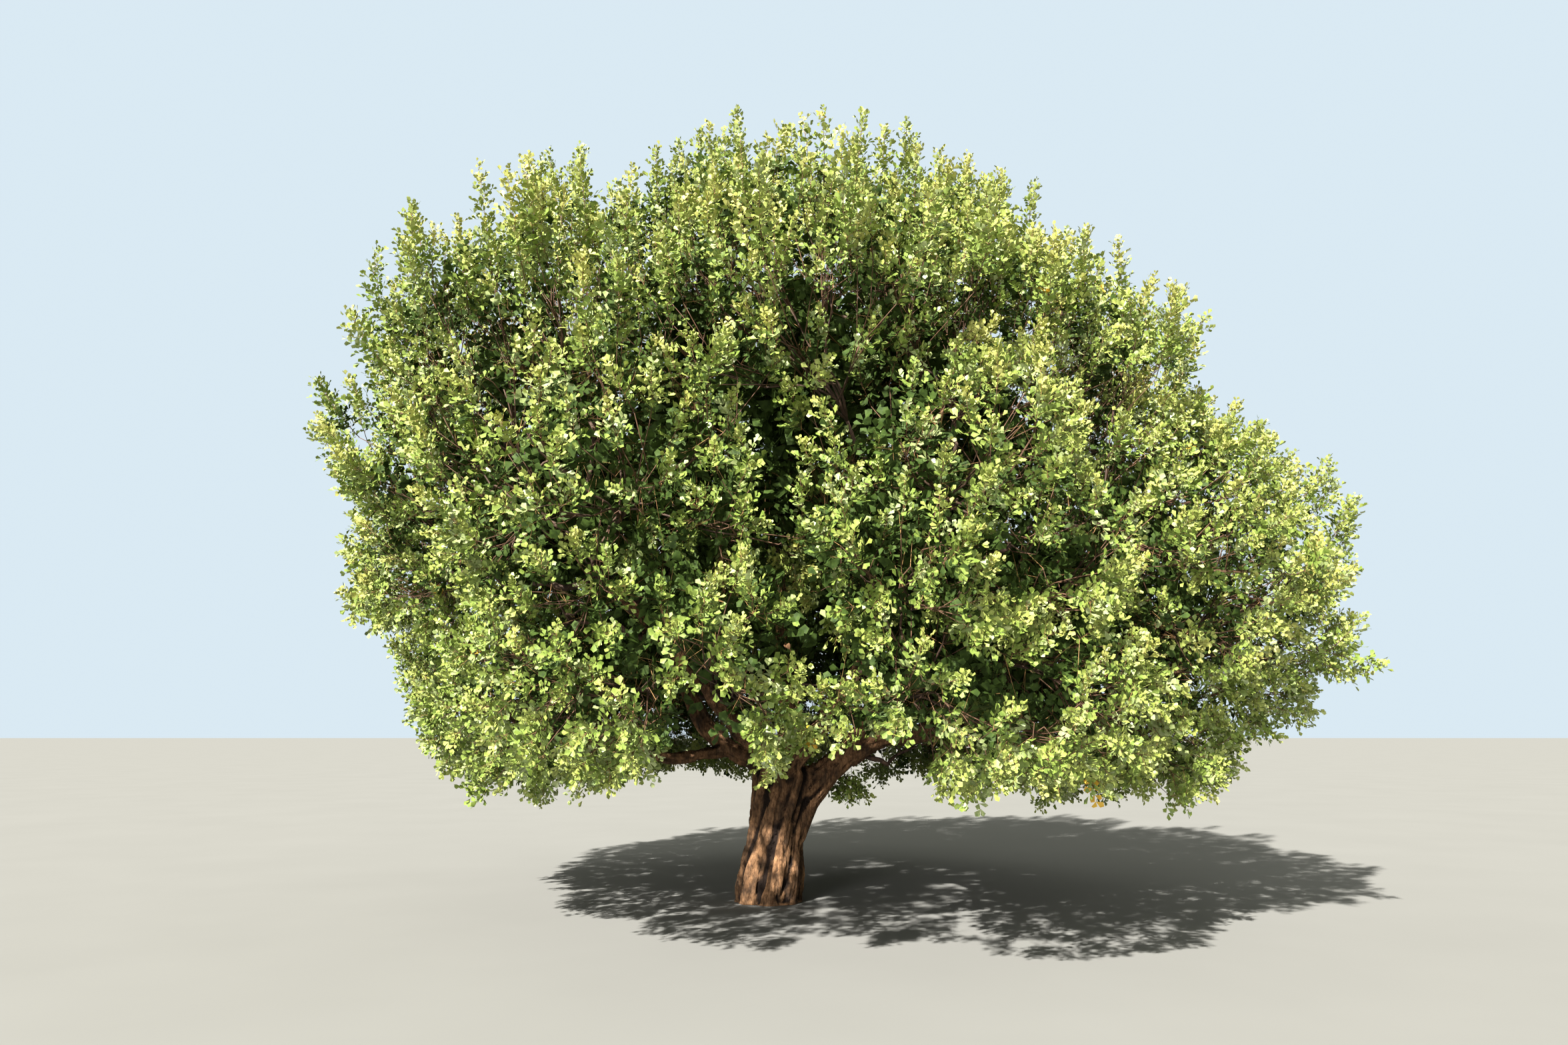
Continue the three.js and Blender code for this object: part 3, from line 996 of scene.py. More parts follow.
@dataclass
class FrontView:
    """The tree as seen from the front: its crown's outline, gaps where boughs show, and dark hollows, which
    are sunk and whose leaves get painted shade.

    All of it is measured on the upright plane through the trunk's foot, in metres right and up. The
    reaches are the crown's radii from its middle, every few degrees, and a gap or a hollow has its middle
    and its half width and height.
    """

    middle: Pair = (1.24, 6.19)
    step: int = 5
    reach: tuple = (7.45, 6.9, 6.0, 5.83, 5.9, 6.15, 6.2, 5.75, 5.75, 5.65, 5.2, 5.4, 5.75, 5.6, 5.8, 5.5,
                    6.0, 6.05, 5.8, 6.35, 6.05, 6.15, 6.7, 6.1, 6.2, 6.1, 7.4, 7.5, 7.8, 8.1, 8.3, 8.15,
                    8.2, 7.7, 8.3, 8.4, 7.8, 7.5, 7.8, 7.9, 7.4, 7.25, 7.4, 7.2, 6.9, 6.54, 6.11, 5.69,
                    5.27, 4.87, 4.47, 4.31, 4.15, 4.09, 4.03, 4.2, 4.38, 4.7, 5.05, 5.18, 5.31, 5.65, 6.0,
                    6.8, 6.95, 6.95, 7.5, 7.7, 8.05, 7.7, 7.75, 7.6)
    gaps: tuple = ((-0.95, 2.05, 0.55, 0.3), (-1.03, 2.65, 0.27, 0.55), (1.5, 1.84, 0.66, 0.4))
    gap_depth: float = 0.5
    # Hollows: sunk and thinned, and painted with shade through their shoots' painted light.
    hollows: tuple = ((1.9, 5.2, 0.36, 0.8), (2.45, 4.3, 0.5, 0.42), (-1.26, 5.12, 0.5, 0.6),
                      (0.91, 9.54, 0.75, 0.32), (-5.72, 5.92, 0.25, 0.45), (-2.87, 4.7, 0.35, 0.4),
                      (1.92, 7.7, 0.26, 0.38), (-3.25, 3.1, 0.3, 0.25), (1.28, 6.94, 0.2, 0.38),
                      (4.65, 4.85, 0.25, 0.18), (-4.39, 6.12, 0.2, 0.17), (3.77, 2.9, 0.18, 0.17),
                      (4.03, 4.61, 0.18, 0.14), (5.32, 6.5, 0.17, 0.14), (-1.37, 2.76, 0.3, 0.5))
    window: float = 0.8
    outermost: float = 0.985
    beyond: float = 1.035
    free_hem: Pair = (-0.7, -0.52)

    @staticmethod
    def seen(places: Array) -> tuple[Array, Array]:
        """Where places appear on the plane.

        Args:
            places: The places, as rows.

        Returns:
            Their apparent places, right and up, and how much nearness enlarges each.
        """
        larger = -EYE[1] / (places[..., 1] - EYE[1])
        seen = EYE[[0, 2]] + (places[..., [0, 2]] - EYE[[0, 2]]) * larger[..., None]
        return seen, larger

    def in_gap(self, places: Array, room: float = 0.1) -> Array:
        """Which places hide a bough that shows: those that appear in a gap and aren't behind the trunk.

        Args:
            places: The places, as rows.
            room: How much larger a gap is taken.

        Returns:
            Whether each place is one.
        """
        seen, _ = self.seen(places)
        hidden = np.zeros(seen.shape[:-1], bool)
        for x, z, half_x, half_z in self.gaps:
            away = (seen - (x, z)) / (half_x + room, half_z + room)
            hidden |= (away ** 2).sum(-1) < 1
        return hidden & (places[..., 1] < self.gap_depth)

    def hollow(self, places: Array) -> Array:
        """How far each place lies in a dark hollow of the crown's front, where shoots are sunk and thinned
        and their leaves get painted shade.

        Args:
            places: The places, as rows.

        Returns:
            A value from 0 to 1 for each.
        """
        seen, _ = self.seen(places)
        hollows = np.array(self.hollows)
        away = np.linalg.norm((seen[:, None] - hollows[:, :2]) / (hollows[:, 2:] + 0.1), axis=-1).min(1)
        return smooth_step(1.35 - away, 0.0, 0.5) * (places[:, 1] < 0)

    def around(self, places: Array) -> tuple[Array, Array, Array, Array]:
        """How places appear about the crown's middle.

        Args:
            places: The places, as rows.

        Returns:
            Their way from the middle, right and up, its turn in degrees, its length, and how much nearness
            enlarges each.
        """
        seen, larger = self.seen(places)
        away = seen - self.middle
        turn = np.degrees(np.arctan2(away[:, 1], away[:, 0])) % 360
        return away, turn, np.linalg.norm(away, axis=1), larger

    def measure(self, tips: Array) -> None:
        """Measures how far the crown reaches each way as built.

        Args:
            tips: The tips of its shoots, as rows.
        """
        _, turn, distance, _ = self.around(tips)
        self.built = []
        for centre in range(0, 360, self.step):
            near = np.abs((turn - centre + 180) % 360 - 180) < self.window * self.step
            self.built.append(np.quantile(distance[near], self.outermost))

    def fitted(self, places: Array) -> Array:
        """Moves places near the crown's apparent edge so that its outline is the one measured.

        Args:
            places: Places in or on the crown, as rows.

        Returns:
            The moved places.
        """
        away, turn, distance, larger = self.around(places)
        every = np.arange(0, 360 + self.step, self.step)
        wanted = np.interp(turn, every, [*self.reach, self.reach[0]])
        built = np.interp(turn, every, [*self.built, self.built[0]])
        side = smooth_step(np.sin(np.radians(turn)), *self.free_hem)
        change = (wanted / built - 1) * np.clip(distance / built, 0, 1) ** 4 * side
        most = np.where(side > 0, self.beyond * wanted / distance, np.inf)
        moved = self.middle + away * np.minimum(1 + change, most)[:, None]
        fitted = places.copy()
        fitted[:, [0, 2]] = EYE[[0, 2]] + (moved - EYE[[0, 2]]) / larger[:, None]
        return fitted


@dataclass(frozen=True)
class SunSpots:
    """Where the sun reaches the wood through the crown, right and up at the wood's front, and how wide."""

    front: float = -0.3
    start: float = 0.4
    spots: tuple = ((-1.08, 2.78, 0.16), (-1.0, 2.45, 0.16), (-0.79, 2.1, 0.14), (0.5, 1.62, 0.12),
                    (-0.1, 1.26, 0.1), (-0.35, 0.6, 0.13), (-0.1, 0.27, 0.17), (-0.33, 0.24, 0.13),
                    (0.38, 0.36, 0.14), (0.38, 0.72, 0.12), (0.02, 0.8, 0.08), (-0.22, 0.98, 0.09))

    def on_way(self, places: Array, room: float = 0.1) -> Array:
        """Which places lie on the open ways by which the sun reaches the spots.

        Args:
            places: The places, as rows.
            room: How far round each way stays free.

        Returns:
            Whether each place lies on such a way.
        """
        spots = np.array(self.spots)
        sun = unit(np.array(SUN_FROM))
        back = (places[:, 1] - self.front) / sun[1]
        landing = places - sun * back[:, None]
        away = np.linalg.norm(landing[:, None, [0, 2]] - spots[None, :, :2], axis=-1)
        return (back > self.start) & (away < spots[:, 2] + room).any(1)


@dataclass
class Spots(Rows):
    """Where shoots stand: their mass and clump, and how each lies in them and in the crown."""

    places: Array
    masses: Array
    cleft: Array
    radial: Array
    out: Array
    clump: Array
    fan: Array
    level: Array
    gap: Array
    valley: Array
    hollow: Array
    rise: Array
    mood: Array


@dataclass
class Shoots(Rows):
    """The leafy shoots: stems that bend from their first way to their last."""

    feet: Array
    first: Array
    last: Array
    sizes: Array
    masses: Array
    clump: Array
    hanging: Array
    leader: Array
    # Painted light: how light or dark each shoot's leaves are painted.
    light: Array
    relief: Array

    def stem(self, share: Array) -> tuple[Array, Array]:
        """Where each stem is at a share of its length, and its direction there.

        Args:
            share: Shape (shoots, places).

        Returns:
            Places and directions, each of shape (shoots, places, 3).
        """
        share = share[..., None]
        bend = self.last - self.first
        size = self.sizes[:, None, None]
        place = self.feet[:, None] + size * (self.first[:, None] * share + 0.5 * bend[:, None] * share ** 2)
        return place, unit(self.first[:, None] + bend[:, None] * share)

    def places_along(self, start: float, end: float, count: int) -> Array:
        """As many places along each stem, between two shares of its length."""
        return self.stem(np.broadcast_to(np.linspace(start, end, count), (len(self.feet), count)))[0]


@dataclass(frozen=True)
class Bend:
    """What a shoot's way is made of. Pairs are for the low and the high part of the crown."""

    out: Pair
    fan: float
    up: Pair
    up_where_hanging: float
    uneven: Pair


@dataclass
class Planting:
    """Stands the shoots all over the crown, in rounded clumps with dark valleys between them: the valleys are
    sunk and thinner, and their leaves get painted shade.

    A shoot stands out more or less by its clump's own rise, the clump's dome and the valleys round it, and
    a few leaders stand out further. The low part of the crown is calmer, with less relief.
    """

    surface: CrownSurface
    view: FrontView
    seed: int = 5
    candidates: int = 70000
    spacing: float = 0.3
    clump_spacing: float = 1.0
    clump_reach: float = 0.56
    clump_rise: Pair = (-0.2, 0.16)
    clump_mood: float = 0.11
    out_of_mass: float = 0.5
    out_of_crown: float = 0.65
    narrower_below: float = 0.4
    narrower_above: float = 0.12
    valley_uneven: float = 0.15
    valley_from: Pair = (0.75, 1.4)
    narrow: float = 1.2
    in_clefts: float = 0.4
    length: Pair = (0.52, 0.8)
    foot: Bend = Bend((0.65, 0.65), 0.6, (0.25, 0.55), -0.25, (0.18, 0.18))
    tip: Bend = Bend((0.6, 0.2), 0.15, (0.55, 1.0), 0.1, (0.24, 0.12))
    stand: float = 0.12
    stand_uneven: float = 0.06
    stand_less_high: float = 0.22
    dome: float = 0.2
    valley_depth: float = 0.3
    valley_thinning: float = 0.4
    valley_spacing: float = 0.25
    cleft_depth: float = 0.25
    hollow_depth: float = 0.45
    hollow_thinning: float = 0.3
    leaders: float = 0.14
    leader_length: Pair = (1.3, 0.25)
    leader_stand: Pair = (0.32, 0.5)
    high_from: Pair = (5.0, 10.5)
    low_from: Pair = (2.0, 4.8)
    margin: Triple = (0.22, 0.2, 0.12)
    # Painted light and shade, dealt out to the shoots' leaves as lighter or darker finishes.
    lit: float = 0.63
    top_lit: float = 0.13
    right_lit: float = 0.01
    level_lit: float = 0.26
    rise_lit: float = 0.5
    valley_shade: float = 0.36
    cleft_shade: float = 0.25
    hollow_shade: float = 0.35
    low_left_shade: float = 0.24
    hem_at_trunk: float = 2.0
    hem_uneven: tuple = ((0.36, 1.3, 3.7), (0.42, 0.5, 8.1))
    hem_ends: tuple = ((0.9, 1.0, 6.3, 8.6), (0.7, -1.0, 4.9, 5.7))
    room_for_sun: float = 0.16
    sprays: tuple = ((0.9, 0.2, 1.86, 0.5), (1.02, 0.12, 1.86, 0.58), (1.12, 0.22, 1.9, 0.52),
                     (1.0, 0.3, 1.86, 0.4), (1.2, 0.14, 1.95, 0.5))

    def __post_init__(self) -> None:
        """Sets up the source of chance."""
        self.random = np.random.default_rng(self.seed)

    def outside(self) -> tuple[Array, Array, Array, Array]:
        """Places on the outer sides of the masses, where a shoot may stand.

        Returns:
            The places, the way out of the mass at each, each one's mass, and whether it lies in a cleft.
        """
        random = self.random
        places, ways, masses = self.surface.scattered(self.candidates, random)
        free = self.surface.open_way(places, ways)
        cleft = free < self.surface.sight - 1
        outer = (free > self.narrow) & (~cleft | (random.random(len(free)) < self.in_clefts))
        outer &= ~(cleft & (dot(ways, self.surface.outward(places))[:, 0] < 0.1))
        inside = self.surface.zone_numbers(masses) == number_of(Zone.INSIDE)
        outer &= ~(inside & (ways[:, 2] > -0.3))
        under = (ways[:, 2] < -0.5) & (np.hypot(places[:, 0], places[:, 1]) < 4.5)
        outer &= ~(under & (random.random(len(free)) < 0.4))
        return places[outer], ways[outer], masses[outer], cleft[outer]

    def spots(self) -> Spots:
        """Chooses where the shoots stand, and gathers them into clumps.

        Returns:
            The spots.
        """
        random = self.random
        places, ways, masses, cleft = self.outside()
        centres = places[thinned(places, self.clump_spacing * random.uniform(0.8, 1.3, len(places)))]
        rise = random.uniform(*self.clump_rise, len(centres))
        mood = self.clump_mood * random.normal(size=len(centres))
        clump, _ = nearest(centres, places)
        radial = self.surface.outward(places)
        out = unit(self.out_of_mass * ways + self.out_of_crown * radial)
        away = places - centres[clump]
        level = dot(away, UP - out * out[:, 2:])[:, 0] / self.clump_reach
        gap = np.linalg.norm(away, axis=1) / self.clump_reach
        gap = gap - self.narrower_below * np.minimum(level, 0) - self.narrower_above * np.maximum(level, 0)
        hollow = self.view.hollow(places)
        valley = smooth_step(gap + self.valley_uneven * random.normal(size=len(gap)), *self.valley_from)
        valley = np.maximum(valley, hollow)
        thinning = self.valley_thinning * valley + self.hollow_thinning * hollow
        keep = np.flatnonzero(random.random(len(places)) > thinning)
        spacing = self.spacing * (1 + self.valley_spacing * valley)
        keep = keep[thinned(places[keep], spacing[keep])]
        found = Spots(places, masses, cleft, radial, out, clump, away / self.clump_reach, level, gap, valley,
                      hollow, rise[clump], mood[clump])
        return found.chosen(keep)

    def way(self, bend: Bend, spots: Spots, hanging: Array, high: Array) -> Array:
        """Which way each shoot points at its foot or tip: out and up, fanned over its clump, or hanging.

        Args:
            bend: What the way is made of.
            spots: Where the shoots stand.
            hanging: How far each hangs, from 0 to 1.
            high: How high in the crown each stands, from 0 to 1.

        Returns:
            The ways, as rows.
        """
        high, hanging = high[:, None], hanging[:, None]
        way = blend(*bend.out, high) * spots.out + bend.fan * spots.fan
        way = way + blend(blend(*bend.up, high) * UP, bend.up_where_hanging * UP, hanging)
        return unit(way + blend(*bend.uneven, high) * self.random.normal(size=way.shape))

    def tips(self, spots: Spots, leader: Array, high: Array, relief: Array) -> Array:
        """Where the shoots end: out from their spots, and fitted to the outline and the box.

        Args:
            spots: Where the shoots stand.
            leader: Which shoots are leaders.
            high: How high in the crown each stands, from 0 to 1.
            relief: How much relief the crown has at each, from 0.3 to 1.

        Returns:
            The tips, as rows.
        """
        stand = self.stand + spots.rise + self.stand_uneven * self.random.normal(size=len(high))
        least, more = self.leader_stand
        stand += np.where(leader, least + more * high, -self.stand_less_high * high)
        domed = self.dome * np.clip(1 - spots.gap ** 2, -0.8, 1) - self.valley_depth * spots.valley
        stand += relief * domed - self.cleft_depth * spots.cleft - self.hollow_depth * spots.hollow
        tips = spots.places + spots.out * stand[:, None]
        self.view.measure(tips)
        low, high = np.array(CAD_BOX)
        margin = np.array(self.margin)
        return np.clip(self.view.fitted(tips), low - margin, high + margin)

    def light(self, spots: Spots, relief: Array) -> Array:
        """How much painted light each shoot gets, which picks its leaves' finishes: more at its clump's top,
        on clumps that stand out, at the crown's top and on its right side, less in valleys, clefts, hollows
        and at the low left.

        Args:
            spots: Where the shoots stand.
            relief: How much relief the crown has at each, from 0.3 to 1.

        Returns:
            A value from 0 to 1.1 for each.
        """
        right, _, height = spots.places.T
        varied = self.level_lit * np.clip(spots.level, -1, 1) - self.valley_shade * spots.valley
        varied = varied - self.cleft_shade * spots.cleft + self.rise_lit * spots.rise + spots.mood
        light = self.lit + self.top_lit * spots.radial[:, 2] + relief * varied
        light = light - self.hollow_shade * spots.hollow + self.right_lit * right
        low_left = (1 - smooth_step(height, *self.low_from)) * smooth_step(-right, 2.0, 5.0)
        return np.clip(light - self.low_left_shade * low_left, 0, 1.1)

    def lift_hem(self, shoots: Shoots) -> None:
        """Lifts the shoots that hang too low: the hem is uneven, higher round the trunk and at its ends.

        Args:
            shoots: The shoots, whose feet are moved.
        """
        along = shoots.places_along(0, 1, 3)
        flat = along[:, -1] * (1.0, 1.0, 0.0)
        near_trunk = smooth_step(3.3 - np.linalg.norm(flat - (0.3, 0, 0), axis=1), 0.0, 1.4)
        uneven = sum(strength * noise_at(flat, size, offset) for strength, size, offset in self.hem_uneven)
        right = self.view.seen(along[:, -1])[0][:, 0]
        ends = sum(lift * smooth_step(side * right, low, high) for lift, side, low, high in self.hem_ends)
        hem = blend(HEM + uneven + ends, self.hem_at_trunk, near_trunk)
        shoots.feet[:, 2] += np.maximum(hem - along[..., 2].min(1), 0)

    def cleared(self, shoots: Shoots) -> Shoots:
        """Leaves out the shoots that would hide the boughs where they show, or the sun from the trunk.

        Args:
            shoots: The shoots.

        Returns:
            The others.
        """
        along = shoots.places_along(0.2, 1, 4)
        sunny = SunSpots().on_way(along.reshape(-1, 3), self.room_for_sun).reshape(-1, 4).any(1)
        return shoots.chosen(~self.view.in_gap(along).any(1) & ~sunny)

    def hanging_spray(self, shoots: Shoots) -> Shoots:
        """The dark spray that hangs from the right bough, beside the trunk: its low painted light gives its
        leaves dark finishes, a painted shade.

        Args:
            shoots: The other shoots.

        Returns:
            The spray's shoots.
        """
        random = np.random.default_rng([self.seed, 1])
        data = np.array(self.sprays)
        feet, sizes = data[:, :3], data[:, 3]
        closest, _ = nearest(shoots.feet, feet)
        down = unit(np.array((0.3, -0.1, -1.0)) + 0.3 * random.normal(size=feet.shape))
        last = unit(down + (0.5, -0.2, 0.3))
        ones = np.ones(len(data))
        clump = np.full(len(data), shoots.clump.max() + 1)
        # Low painted light darkens the spray's leaves: painted shade.
        return Shoots(feet, down, last, sizes, shoots.masses[closest], clump, hanging=ones, leader=ones < 0,
                      light=0.3 * ones, relief=0.3 * ones)

    def build(self) -> Shoots:
        """Plants the shoots.

        Returns:
            The shoots.
        """
        spots = self.spots()
        count = len(spots.places)
        height = spots.places[:, 2]
        relief = blend(0.3, 1.0, smooth_step(height, *self.low_from))
        hanging = smooth_step(-spots.out[:, 2], 0.1, 0.6)
        high = smooth_step(height + 1.5 * spots.radial[:, 2], *self.high_from)
        chance = self.leaders * (0.6 + high) * np.where(spots.gap < 0.5, 2.2, 0.6)
        leader = (self.random.random(count) < chance) & (hanging < 0.1) & (spots.valley < 0.5)
        least, more = self.leader_length
        longer = np.where(leader, least + more * high, 1.0)
        sizes = blend(*self.length, high) * self.random.uniform(0.8, 1.2, count) * longer
        first, last = (self.way(bend, spots, hanging, high) for bend in (self.foot, self.tip))
        tips = self.tips(spots, leader, high, relief)
        feet = tips - sizes[:, None] * (first + 0.5 * (last - first))
        shoots = Shoots(feet, first, last, sizes, spots.masses, spots.clump, hanging, leader,
                        self.light(spots, relief), relief)
        self.lift_hem(shoots)
        shoots = self.cleared(shoots)
        return Shoots.together([shoots, self.hanging_spray(shoots)])


# Leaves

@dataclass
class Leaves(Rows):
    """Compound leaves: leaflets in pairs along a stalk. Ages with painted light, zones and forms are numbers
    of options.
    """

    feet: Array
    ways: Array
    faces: Array
    sizes: Array
    ages: Array
    zones: Array
    forms: Array


@dataclass(frozen=True)
class LeafShape:
    """A compound leaf's proportions, over the length of its stalk, and its leaflets' outline."""

    form: LeafForm
    outline: tuple = ((0, 0, 0), (0.72, -0.4, 0.04), (1.0, 0, -0.04), (0.72, 0.4, 0.04))
    pairs_at: tuple[float, ...] = (0.24, 0.48, 0.72, 0.96)
    spread: tuple[float, ...] = (72.0, 66.0, 56.0, 30.0)
    leaflet: float = 0.4
    width: float = 0.88
    fold: float = 24.0
    uneven: float = 0.34
    droop: float = 0.08

    def arrays(self, leaves: Leaves, random: Random) -> tuple[Array, Array]:
        """The leaflets of many leaves.

        Args:
            leaves: The leaves, all of this shape.
            random: Tilts and sizes each leaflet a little differently.

        Returns:
            Vertices and triangles.
        """
        at = np.repeat(self.pairs_at, 2)
        hand = np.tile([1.0, -1.0], len(self.pairs_at))[:, None]
        count, many = len(leaves.feet), len(at)
        angle = np.radians(np.repeat(self.spread, 2)) + 0.14 * random.normal(size=(count, many))
        angle = angle[..., None]
        size = leaves.sizes[:, None]
        sag = -self.droop * (at ** 2)[None, :, None] * size[..., None] * UP
        foot = leaves.feet[:, None] + leaves.ways[:, None] * (at * size)[..., None] + sag
        ways, faces = leaves.ways[:, None], leaves.faces[:, None]
        side = np.cross(faces, ways)
        fold = math.radians(self.fold)
        sideways = math.cos(fold) * hand * side + math.sin(fold) * faces
        along = np.cos(angle) * ways + np.sin(angle) * sideways
        along = unit(along + self.uneven * random.normal(size=along.shape))
        face = math.cos(fold) * faces - math.sin(fold) * hand * side
        face = square_to(along, face + self.uneven * random.normal(size=along.shape))
        across = np.cross(face, along)
        length = (self.leaflet * size * random.uniform(0.85, 1.15, (count, many)))[..., None, None]
        shape = np.array(self.outline)
        points = foot[:, :, None] + length * (along[:, :, None] * shape[:, :1]
                                              + across[:, :, None] * shape[:, 1:2] * self.width
                                              + face[:, :, None] * shape[:, 2:])
        corners = len(shape)
        first = (np.arange(count * many) * corners)[:, None]
        fan = [first + [0, k, k + 1] for k in range(1, corners - 1)]
        return points.reshape(-1, 3), np.concatenate(fan)

    def tips(self, leaves: Leaves) -> Array:
        """Where the leaves' stalks end, at their last pair."""
        reach = self.pairs_at[-1] * leaves.sizes[:, None]
        return leaves.feet + leaves.ways * reach - self.droop * self.pairs_at[-1] * reach * UP


BLUNT_LEAF = LeafShape(
    LeafForm.BLUNT,
    outline=((0, 0, 0), (0.5, -0.42, 0.04), (0.94, -0.24, -0.02), (0.94, 0.24, -0.02), (0.5, 0.42, 0.04)),
)
POINTED_LEAF = LeafShape(LeafForm.POINTED)
INNER_LEAF = LeafShape(LeafForm.INNER, pairs_at=(0.32, 0.64, 0.96), spread=(76.0, 66.0, 32.0), leaflet=0.54,
                       width=0.95, fold=15.0, uneven=0.35)


@dataclass(frozen=True)
class Layer:
    """Darker leaves behind the shoots, painted near-black as shade: how many, how deep they lie, and how
    large they are.

    A layer may end below a height, stay clear of the fork's open room, and have extra leaves in boxes.
    """

    number: int
    count: int
    least_depth: float
    most_depth: float
    leaf: float
    below: float = math.inf
    clear_of_fork: float = 0.0
    screens: tuple = ()


LAYERS = (
    Layer(0, 6800, 0.45, 1.0, 0.2),
    Layer(1, 4800, 1.0, 3.0, 0.26, below=9.3, screens=(
        ((0.1, 1.5, 3.1), (1.7, 4.0, 4.9), 380),
        ((-1.7, 1.2, 2.6), (-0.5, 3.2, 4.0), 260),
        ((0.0, -0.9, 3.2), (0.55, -0.35, 4.3), 45),
    )),
    Layer(2, 3400, 2.0, 3.6, 0.4, below=9.3, clear_of_fork=2.2),
)


@dataclass
class Foliage:
    """All the leaves of the crown, dealt out to shoots by age and painted light, and joined into pieces by
    zone and by age and painted light.
    """

    surface: CrownSurface
    view: FrontView
    shoots: Shoots
    seed: int = 23
    leaves_on_shoot: int = 12
    leaves_on_leader: int = 29
    leaf: float = 0.192
    bare_on_shoot: float = 0.24
    bare_on_leader: float = 0.12
    lean: Pair = (66.0, 28.0)
    by_place: float = 0.84
    by_light: float = 0.56
    mature_from: float = 0.5
    fresh_from: float = 0.86
    young_from: float = 1.1
    sprouting: float = 0.55
    # Share of leaves with the glossy finish and its painted sheen.
    glossy: float = 0.14
    yellowed: float = 0.0012
    fork_middle: float = 0.3
    fork_roof: float = 3.6
    stalk: float = 0.006

    def on_shoots(self) -> Leaves:
        """The leaves round every stem, the youngest at its tip.

        Returns:
            The leaves.
        """
        shoots, random = self.shoots, np.random.default_rng(self.seed)
        count, most = len(shoots.feet), self.leaves_on_leader
        rank = np.arange(most)
        many = np.where(shoots.leader, most, self.leaves_on_shoot)[:, None]
        lowest = np.where(shoots.leader, self.bare_on_leader, self.bare_on_shoot)[:, None]
        share = blend(lowest, 1.0, np.minimum(rank / (many - 1), 1) ** 0.9)
        share = share + 0.015 * random.normal(size=(count, most))
        place, along = shoots.stem(share)
        first = unit(np.cross(along, np.array([0.31, 0.95, 0.05])))
        second = np.cross(along, first)
        turn = GOLDEN_ANGLE * rank[None] + random.uniform(0, 2 * math.pi, (count, 1))
        turn = (turn + 0.2 * random.normal(size=turn.shape))[..., None]
        round_about = first * np.cos(turn) + second * np.sin(turn)
        lean = np.radians(blend(*self.lean, np.clip(share, 0, 1) ** 1.6))
        lean = (lean + 0.16 * random.normal(size=share.shape))[..., None]
        ways = unit(along * np.cos(lean) + round_about * np.sin(lean))
        faces = along * np.sin(lean) - round_about * np.cos(lean)
        faces = unit(faces + 0.3 * np.cross(ways, faces) * random.normal(size=lean.shape))
        size = self.leaf * (1.0 - 0.4 * share ** 4) * random.uniform(0.85, 1.15, share.shape)
        size *= np.where(shoots.hanging > 0.4, 1.1, 1.0)[:, None]
        ages = self.ages(share, random)
        zones = np.broadcast_to(self.surface.zone_numbers(shoots.masses)[:, None], share.shape)
        forms = np.where(rank == many - 1, number_of(LeafForm.BLUNT), number_of(LeafForm.POINTED))
        return Leaves(place, ways, faces, size, ages, zones, forms).chosen(rank < many)

    def ages(self, share: Array, random: Random) -> Array:
        """The age and painted light of each leaf, from its place on the shoot and from the painted light of
        its shoot.

        Args:
            share: How far up its shoot each leaf is, shape (shoots, leaves).
            random: The source of chance.

        Returns:
            The number of each leaf's age and painted light among the options.
        """
        light = self.shoots.light[:, None] + 0.12 * random.normal(size=(len(share), 1))
        # The shoot's painted light raises or lowers the score, so that lit shoots get lighter finishes and
        # shaded ones darker: painted light and shade.
        score = share * self.by_place + self.by_light * light + 0.07 * random.normal(size=share.shape)
        score = 0.8 + (score - 0.8) * blend(0.35, 1.0, self.shoots.relief)[:, None]
        young = (random.random((len(share), 1)) < self.sprouting) & (score > self.young_from)
        # Some lit leaves take the glossy finish, whose pale greyish colour is a painted sheen.
        glossy = (random.random(share.shape) < self.glossy) & (score > self.mature_from) & ~young
        yellowed = random.random(share.shape) < self.yellowed
        kinds = {LeafAgeAndLight.MATURE: score > self.mature_from, LeafAgeAndLight.FRESH: score > self.fresh_from,
                 LeafAgeAndLight.YOUNG: young, LeafAgeAndLight.GLOSSY: glossy, LeafAgeAndLight.YELLOWED: yellowed}
        ages = np.full(share.shape, number_of(LeafAgeAndLight.SHADED))
        for age, which in kinds.items():
            ages[which] = number_of(age)
        return ages

    def has_room(self, places: Array, layer: Layer) -> Array:
        """Which places behind the shoots may have leaves: none in gaps, on the sun's ways or too low.

        Args:
            places: The places, as rows.
            layer: Their layer.

        Returns:
            Whether each place may.
        """
        free = ~self.view.in_gap(places, 0.2) & (places[:, 2] > HEM + 0.1) & ~SunSpots().on_way(places)
        free &= places[:, 2] < layer.below
        from_fork = np.hypot(places[:, 0] - self.fork_middle, places[:, 1])
        return free & ((from_fork > layer.clear_of_fork) | (places[:, 2] > self.fork_roof))

